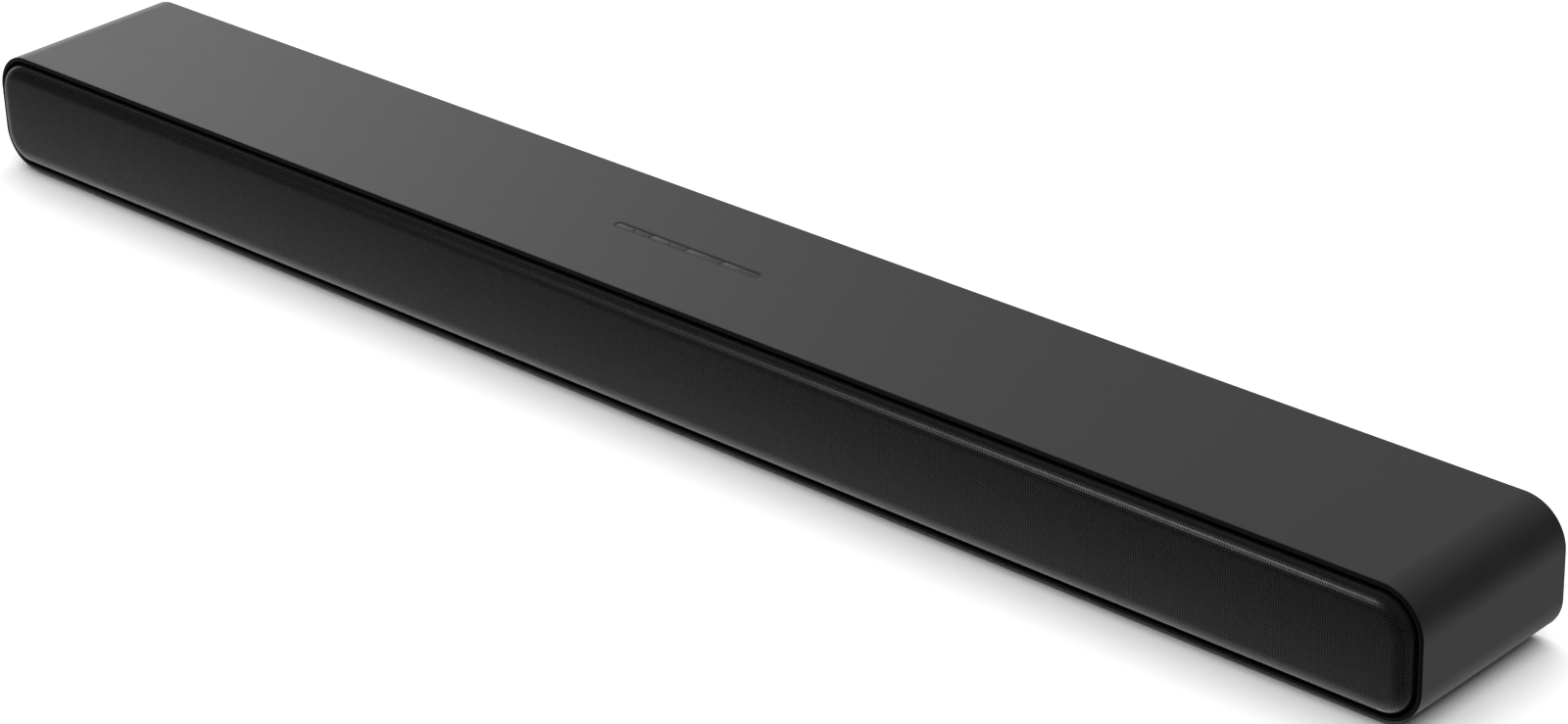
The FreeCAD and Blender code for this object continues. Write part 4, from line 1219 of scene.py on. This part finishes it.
def polar_cap(name, radius, height, steps=(28, 64), recess=0.0, arm=(0.0, 0.0)):
    """A domed disc: height falls with the square of the radius, and a cross is sunk in it.

    The cross's depth is full where either axis's distance is under the arm's width and the
    other's under its length, with sloping sides.
    """
    reach = np.linspace(0.0, 1.0, steps[0])[:, None] * radius
    angle = np.arange(steps[1]) * 4 * QUARTER / steps[1]
    x, y = reach * np.cos(angle), reach * np.sin(angle)
    rise = height * (1 - 0.45 * (reach / radius) ** 2) * np.ones_like(x)
    near, far = np.minimum(np.abs(x), np.abs(y)), np.maximum(np.abs(x), np.abs(y))
    ease = arm[0] * 0.4
    if recess:
        sink = np.clip((arm[0] - near) / ease, 0, 1) * np.clip((arm[1] - far) / ease, 0, 1)
        rise = rise - recess * sink
    return x, y, rise


def screw_head(name, spot, seat, radius, height, sign):
    """A pan head with a cross recess, on a short shank."""
    x, y, rise = polar_cap(name, radius, height, recess=height * 0.7, arm=(0.42 * MM, 1.5 * MM))
    rim_x, rim_y = x[-1], y[-1]
    rows = [np.stack([x + spot[0], seat + sign * rise, y + spot[1]], axis=2)]
    for share, depth in ((1.0, 0.0), (0.5, 0.0), (0.5, -(SCREW_LENGTH))):
        level = np.full_like(rim_x, seat + sign * depth)
        row = np.stack([rim_x * share + spot[0], level, rim_y * share + spot[1]], axis=1)
        rows.append(row[None])
    grid = np.concatenate(rows)
    item = set_mesh(name, grid.reshape(-1, 3), grid_quads(len(grid), grid.shape[1]))
    return reshade(turn_outwards(item), 35.0)


def build_screws():
    """The rear panel's and the woofers' screws, with crossed recesses."""
    for node, piece, across, sign in (
        ("rear_screws", "rear_screw_heads", REAR_SCREWS, 1),
        ("woofer_screws", "woofer_screw_heads", WOOFER_SCREWS, -1),
    ):
        low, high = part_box(node)
        seat = (high[1] if sign > 0 else low[1]) - sign * SCREW_HEAD
        middle = (low[2] + high[2]) / 2
        rise = (high[2] - low[2]) / 2 - SCREW_RADIUS
        heads = []
        for x in across:
            for up in (-1, 1):
                spot = (x, middle + up * rise)
                heads.append(screw_head("head", spot, seat, SCREW_RADIUS, SCREW_HEAD, sign))
        settle(join(piece, heads), CASE_BODY, "screw_steel", node)


def build_inserts():
    """Brass inserts: a flat ring outside, and inside a thread.

    Along the bore, the radius is the hole's radius plus a triangle wave of the depth divided by
    the pitch less the turn, so the ridges run round as one helix.
    """
    low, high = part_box("wall_inserts")
    middle = (low[2] + high[2]) / 2
    outer = (high[2] - low[2]) / 2
    bore, crest, pitch = INSERT_BORE, 0.16 * MM, 0.7 * MM
    angle = np.arange(48) * 4 * QUARTER / 48
    depth = np.linspace(0.0, high[1] - low[1], 90)
    wave = np.abs(((depth[:, None] / pitch - angle[None, :] / (4 * QUARTER)) % 1.0) - 0.5) * 2
    fade = np.clip(np.minimum(depth, depth[::-1]) / (0.6 * MM), 0, 1)[:, None]
    inner = bore + crest * (1 - wave) * fade
    sleeves = []
    for side in (-1, 1):
        place = side * (high[0] - outer)
        rows = [
            (np.full_like(angle, outer - 0.25 * MM), high[1]),
            (np.full_like(angle, outer), high[1] - 0.25 * MM),
            (np.full_like(angle, outer), low[1]),
        ]
        rows += [(inner[k], low[1] + depth[k]) for k in range(len(depth))]
        rows.append((np.full_like(angle, bore + 0.3 * MM), high[1]))
        radius = np.stack([row[0] for row in rows])
        y = np.array([row[1] for row in rows])[:, None] * np.ones_like(radius)
        grid = np.stack([place + radius * np.cos(angle), y, middle + radius * np.sin(angle)], axis=2)
        item = set_mesh("insert", grid.reshape(-1, 3), grid_quads(len(rows), len(angle), wrap_rows=True))
        sleeves.append(turn_outwards(item))
    settle(join("threaded_inserts", sleeves), CASE_BODY, "insert_brass", "wall_inserts")


# ---- drivers and wadding ---------------------------------------------------------------------


def build_drivers():
    """Woofer surrounds and diaphragms.

    A surround's half roll is a half circle's profile carried round a straight-sided oval. A
    diaphragm blends from that oval to the coil's circle, and sinks with its distance from the rim.
    """
    for side in SIDES:
        low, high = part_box("woofer_surround_" + side)
        middle = (low[0] + high[0]) / 2, (low[2] + high[2]) / 2
        loop, outward = stadium_loop(*middle, high[0] - low[0], high[2] - low[2])
        roll, thick = ROLL_RADIUS, 0.5 * MM
        centre, back = SURROUND_WIDTH / 2, low[1] + thick
        turn = np.linspace(0, 2 * QUARTER, 17)
        outer = np.stack([centre - roll * np.cos(turn), low[1] - roll * np.sin(turn)], axis=1)
        bore = roll - thick
        inner = np.stack([centre - bore * np.cos(turn), back - bore * np.sin(turn)], axis=1)
        front = np.concatenate([[(0.0, low[1])], outer, [(SURROUND_WIDTH, low[1])]])
        rear = np.concatenate([[(SURROUND_WIDTH, back)], inner[::-1], [(0.0, back)]])
        profile = np.concatenate([front, rear])
        surround = ring_solid("surround_" + side, loop, outward, profile, "Y", sharp=60.0)
        settle(surround, CASE_BODY, "surround_rubber", "woofer_surround_" + side)

        cone_low, cone_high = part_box("woofer_cone_" + side)
        rim, _ = stadium_loop(*middle, cone_high[0] - cone_low[0], cone_high[2] - cone_low[2])
        lean = np.arctan2(rim[:, 1] - middle[1], rim[:, 0] - middle[0])
        coil = np.stack([np.cos(lean), np.sin(lean)], axis=1) * COIL_RADIUS + middle
        span = np.linalg.norm(rim - coil, axis=1)
        share = np.linspace(0.0, 1.0, 14)[:, None]
        plan = rim[None] + (coil - rim)[None] * share[:, :, None]
        plate = cone_low[1] + 2.0 * MM
        sink = plate + CONE_DISH * (span / span.max())[None, :] * np.sin(share * QUARTER)
        front = np.stack([plan[:, :, 0], sink, plan[:, :, 1]], axis=2)
        end = np.full(len(coil), cone_high[1])
        tube_end = np.stack([coil[:, 0], end, coil[:, 1]], axis=1)[None]
        inner_coil = middle + (coil - middle) * (1 - CONE_THICK / COIL_RADIUS)
        tube_inner = np.stack([inner_coil[:, 0], end, inner_coil[:, 1]], axis=1)[None]
        cap_turn = np.linspace(0.0, 1.0, 12)[::-1][:, None]
        cap = middle + (coil - middle)[None] * cap_turn[:, :, None] * (1 - CONE_THICK / COIL_RADIUS)
        cap_y = plate - 2.0 * MM * (1 - cap_turn**2) * np.ones((1, len(coil)))
        dome = np.stack([cap[:, :, 0], cap_y, cap[:, :, 1]], axis=2)
        former = np.concatenate([tube_inner, dome])
        back_face = front + [0.0, CONE_THICK, 0.0]
        closed = np.concatenate([former[::-1], tube_end, back_face[::-1], front])
        item = set_mesh("diaphragm_" + side, closed.reshape(-1, 3), grid_quads(len(closed), len(rim)))
        turn_outwards(item, merge=1e-6)
        reshade(item, 35.0)
        settle(item, "woofer_cone_%s_body" % side, "cone_paper", "woofer_cone_" + side)


def squared_off(value):
    """A sine or cosine raised to a low power with its sign kept, which squares off a sphere."""
    return np.sign(value) * np.abs(value) ** WADDING_SQUARE


def build_wadding():
    """Each pad: a crowned block whose faces bulge and sides pull in, with tufts over it.

    A point on a cube is pushed towards a superellipsoid, then moved along its own direction by
    three crossed sine waves.
    """
    for side in SIDES:
        node = "wadding_" + side
        low, high = (np.array(corner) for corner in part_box(node))
        half, middle = (high - low) / 2, (high + low) / 2
        steps = (40, 96)
        tilt = np.linspace(-QUARTER, QUARTER, steps[0])[:, None]
        turn = (np.arange(steps[1]) * 4 * QUARTER / steps[1])[None, :]
        x = squared_off(np.cos(tilt)) * squared_off(np.cos(turn))
        z = squared_off(np.cos(tilt)) * squared_off(np.sin(turn))
        y = squared_off(np.sin(tilt)) * np.ones_like(turn)
        tuft = 1.0 - 0.05 * (1 + np.sin(9 * x + 1.3) * np.sin(6 * z + 0.4) * np.cos(3 * y)) / 2
        grid = np.stack([x, y, z], axis=2) * tuft[:, :, None] * half + middle
        name = node.replace("wadding", "wadding_pad")
        pad = set_mesh(name, grid.reshape(-1, 3), grid_quads(*steps), sharp=180.0)
        reshade(turn_outwards(pad, merge=1e-6), 180.0)
        settle(pad, CASE_BODY, "wadding_fibre", node)


# ---- carried-over solids ----------------------------------------------------------------------


def paint_nodes():
    """Give every solid that stays its finish, by its slot in the record."""
    slots = {part["node"]: part["material_slot"] for part in frame["record"]["subparts"]}
    for name, item in frame["nodes"].items():
        item.data.materials.clear()
        item.data.materials.append(FINISHES[slots[name]]())


# ---- stage ------------------------------------------------------------------------------------


def build_world(look):
    """Room light: an even level, plus a soft glow round each of a few directions.

    A glow rises smoothly between two values of the cosine of the angle from its direction.
    """
    world = bpy.data.worlds.new("room")
    bpy.context.scene.world = world
    world.use_nodes = True
    tree = world.node_tree
    place = tree.nodes.new("ShaderNodeTexCoord")
    total = None
    for direction, start, end, strength in ROOM_GLOWS:
        angle = tree.nodes.new("ShaderNodeVectorMath")
        angle.operation = "DOT_PRODUCT"
        angle.inputs[1].default_value = Vector(direction).normalized()
        tree.links.new(place.outputs["Generated"], angle.inputs[0])
        glow = tree.nodes.new("ShaderNodeMapRange")
        glow.interpolation_type = "SMOOTHSTEP"
        for key, value in zip(("From Min", "From Max", "To Max"), (start, end, strength * look.room)):
            glow.inputs[key].default_value = value
        tree.links.new(angle.outputs["Value"], glow.inputs["Value"])
        add = tree.nodes.new("ShaderNodeMath")
        add.inputs[0].default_value = ROOM_LEVEL * look.room
        if total is not None:
            tree.links.new(total, add.inputs[0])
        tree.links.new(glow.outputs["Result"], add.inputs[1])
        total = add.outputs[0]
    background = tree.nodes["Background"]
    background.inputs["Color"].default_value = (1.0, 1.0, 1.0, 1.0)
    tree.links.new(total, background.inputs["Strength"])


def soft_light(name, place, target, size, power, mirrored):
    """A rectangular soft light aimed at a point, which glossy surfaces mirror or don't."""
    data = bpy.data.lights.new(name, "AREA")
    data.shape = "RECTANGLE"
    data.size, data.size_y = size
    data.energy = power
    lamp = bpy.data.objects.new(name, data)
    lamp.location = place
    lamp.rotation_euler = (Vector(target) - Vector(place)).to_track_quat("-Z", "Y").to_euler()
    lamp.visible_glossy = mirrored
    bpy.context.scene.collection.objects.link(lamp)


def build_floor(look):
    """A wide plain floor."""
    reach = 8.0
    corners = np.array([(-reach, -reach, 0), (reach, -reach, 0), (reach, reach, 0), (-reach, reach, 0)])
    floor = set_mesh("floor", corners, np.array([(0, 1, 2, 3)]))
    nodes = Nodes("floor_paint")
    nodes.set(Base_Color=(*look.floor_colour, 1.0), Roughness=0.9, Specular_IOR_Level=0.0)
    floor.data.materials.append(nodes.material)
    floor.visible_glossy = False


def build_camera(look):
    """The camera, from its place, its heading, its height above the horizon and its roll."""
    heading, rise, roll = (math.radians(angle) for angle in CAMERA_TURN)
    back = Vector((math.sin(heading) * math.cos(rise), -math.cos(heading) * math.cos(rise), math.sin(rise)))
    right = Vector((math.cos(heading), math.sin(heading), 0.0))
    up = back.cross(right)
    across = right * math.cos(roll) + up * math.sin(roll)
    above = up * math.cos(roll) - right * math.sin(roll)
    turn = Matrix((across, above, back)).transposed()
    data = bpy.data.cameras.new("camera")
    data.lens = look.lens
    data.sensor_width = 36.0
    camera = bpy.data.objects.new("camera", data)
    camera.matrix_world = Matrix.Translation(CAMERA_PLACE) @ turn.to_4x4()
    bpy.context.scene.collection.objects.link(camera)
    bpy.context.scene.camera = camera


# ---- operators, panel and run -------------------------------------------------------------------


class SoundbarMaker:
    """Shared part of every operator: run its own make function."""

    bl_options = {"REGISTER", "UNDO"}

    def execute(self, context):
        self.make(context.scene)
        return {"FINISHED"}


class SOUNDBAR_OT_solids(SoundbarMaker, bpy.types.Operator):
    """Paint the solids that stay as they are"""

    bl_idname = "soundbar.solids"
    bl_label = "Solids"

    def make(self, scene):
        paint_nodes()


class SOUNDBAR_OT_sleeve(SoundbarMaker, bpy.types.Operator):
    """Build the sleeve round the case"""

    bl_idname = "soundbar.sleeve"
    bl_label = "Sleeve"

    def make(self, scene):
        build_sleeve(scene.soundbar_case)


class SOUNDBAR_OT_feet(SoundbarMaker, bpy.types.Operator):
    """Build the rubber feet"""

    bl_idname = "soundbar.feet"
    bl_label = "Feet"

    def make(self, scene):
        build_feet()


class SOUNDBAR_OT_front_frame(SoundbarMaker, bpy.types.Operator):
    """Build the frame behind the grille"""

    bl_idname = "soundbar.front_frame"
    bl_label = "Front Frame"

    def make(self, scene):
        build_front_frame()


class SOUNDBAR_OT_grille(SoundbarMaker, bpy.types.Operator):
    """Build the perforated grille"""

    bl_idname = "soundbar.grille"
    bl_label = "Grille"

    def make(self, scene):
        build_grille(scene.soundbar_grille)


class SOUNDBAR_OT_cloth(SoundbarMaker, bpy.types.Operator):
    """Build the cloth behind the grille"""

    bl_idname = "soundbar.cloth"
    bl_label = "Grille Cloth"

    def make(self, scene):
        build_cloth(scene.soundbar_grille)


class SOUNDBAR_OT_keys(SoundbarMaker, bpy.types.Operator):
    """Build the control strip's rim and keys"""

    bl_idname = "soundbar.keys"
    bl_label = "Control Strip"

    def make(self, scene):
        build_bezel(scene.soundbar_case)
        build_keys(scene.soundbar_case)


class SOUNDBAR_OT_back(SoundbarMaker, bpy.types.Operator):
    """Build the screws and the threaded inserts"""

    bl_idname = "soundbar.back"
    bl_label = "Screws and Inserts"

    def make(self, scene):
        build_screws()
        build_inserts()


class SOUNDBAR_OT_drivers(SoundbarMaker, bpy.types.Operator):
    """Build the woofers' surrounds and diaphragms"""

    bl_idname = "soundbar.drivers"
    bl_label = "Drivers"

    def make(self, scene):
        build_drivers()


class SOUNDBAR_OT_wadding(SoundbarMaker, bpy.types.Operator):
    """Build the wadding behind the woofers"""

    bl_idname = "soundbar.wadding"
    bl_label = "Wadding"

    def make(self, scene):
        build_wadding()


class SOUNDBAR_OT_stage(SoundbarMaker, bpy.types.Operator):
    """Build the floor, the lights and the camera"""

    bl_idname = "soundbar.stage"
    bl_label = "Stage"

    def make(self, scene):
        look = scene.soundbar_stage
        scene.view_settings.view_transform = "Standard"
        build_world(look)
        build_floor(look)
        for light in STUDIO_LIGHTS:
            soft_light(*light)
        build_camera(look)


GROUPS = {
    "soundbar_case": SoundbarCase,
    "soundbar_grille": SoundbarGrille,
    "soundbar_stage": SoundbarStage,
}
OPERATORS = (
    SOUNDBAR_OT_solids,
    SOUNDBAR_OT_sleeve,
    SOUNDBAR_OT_feet,
    SOUNDBAR_OT_front_frame,
    SOUNDBAR_OT_grille,
    SOUNDBAR_OT_cloth,
    SOUNDBAR_OT_keys,
    SOUNDBAR_OT_back,
    SOUNDBAR_OT_drivers,
    SOUNDBAR_OT_wadding,
    SOUNDBAR_OT_stage,
)


class SOUNDBAR_PT_build(bpy.types.Panel):
    """Sizes, colours and buttons of the soundbar"""

    bl_label = "Soundbar"
    bl_idname = "SOUNDBAR_PT_build"
    bl_space_type = "VIEW_3D"
    bl_region_type = "UI"
    bl_category = "Soundbar"

    def draw(self, context):
        for name, group in GROUPS.items():
            box = self.layout.box()
            box.label(text=group.__doc__)
            for key in group.__annotations__:
                box.prop(getattr(context.scene, name), key)
        for operator in OPERATORS:
            self.layout.operator(operator.bl_idname)


def register():
    for group in GROUPS.values():
        bpy.utils.register_class(group)
    for name, group in GROUPS.items():
        setattr(bpy.types.Scene, name, PointerProperty(type=group))
    for item in OPERATORS + (SOUNDBAR_PT_build,):
        bpy.utils.register_class(item)


def unregister():
    for item in reversed(OPERATORS + (SOUNDBAR_PT_build,)):
        bpy.utils.unregister_class(item)
    for name, group in GROUPS.items():
        delattr(bpy.types.Scene, name)
        bpy.utils.unregister_class(group)


def main():
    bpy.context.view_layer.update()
    register()
    for operator in OPERATORS:
        group, name = operator.bl_idname.split(".")
        getattr(getattr(bpy.ops, group), name)()


if __name__ == "__main__":
    main()
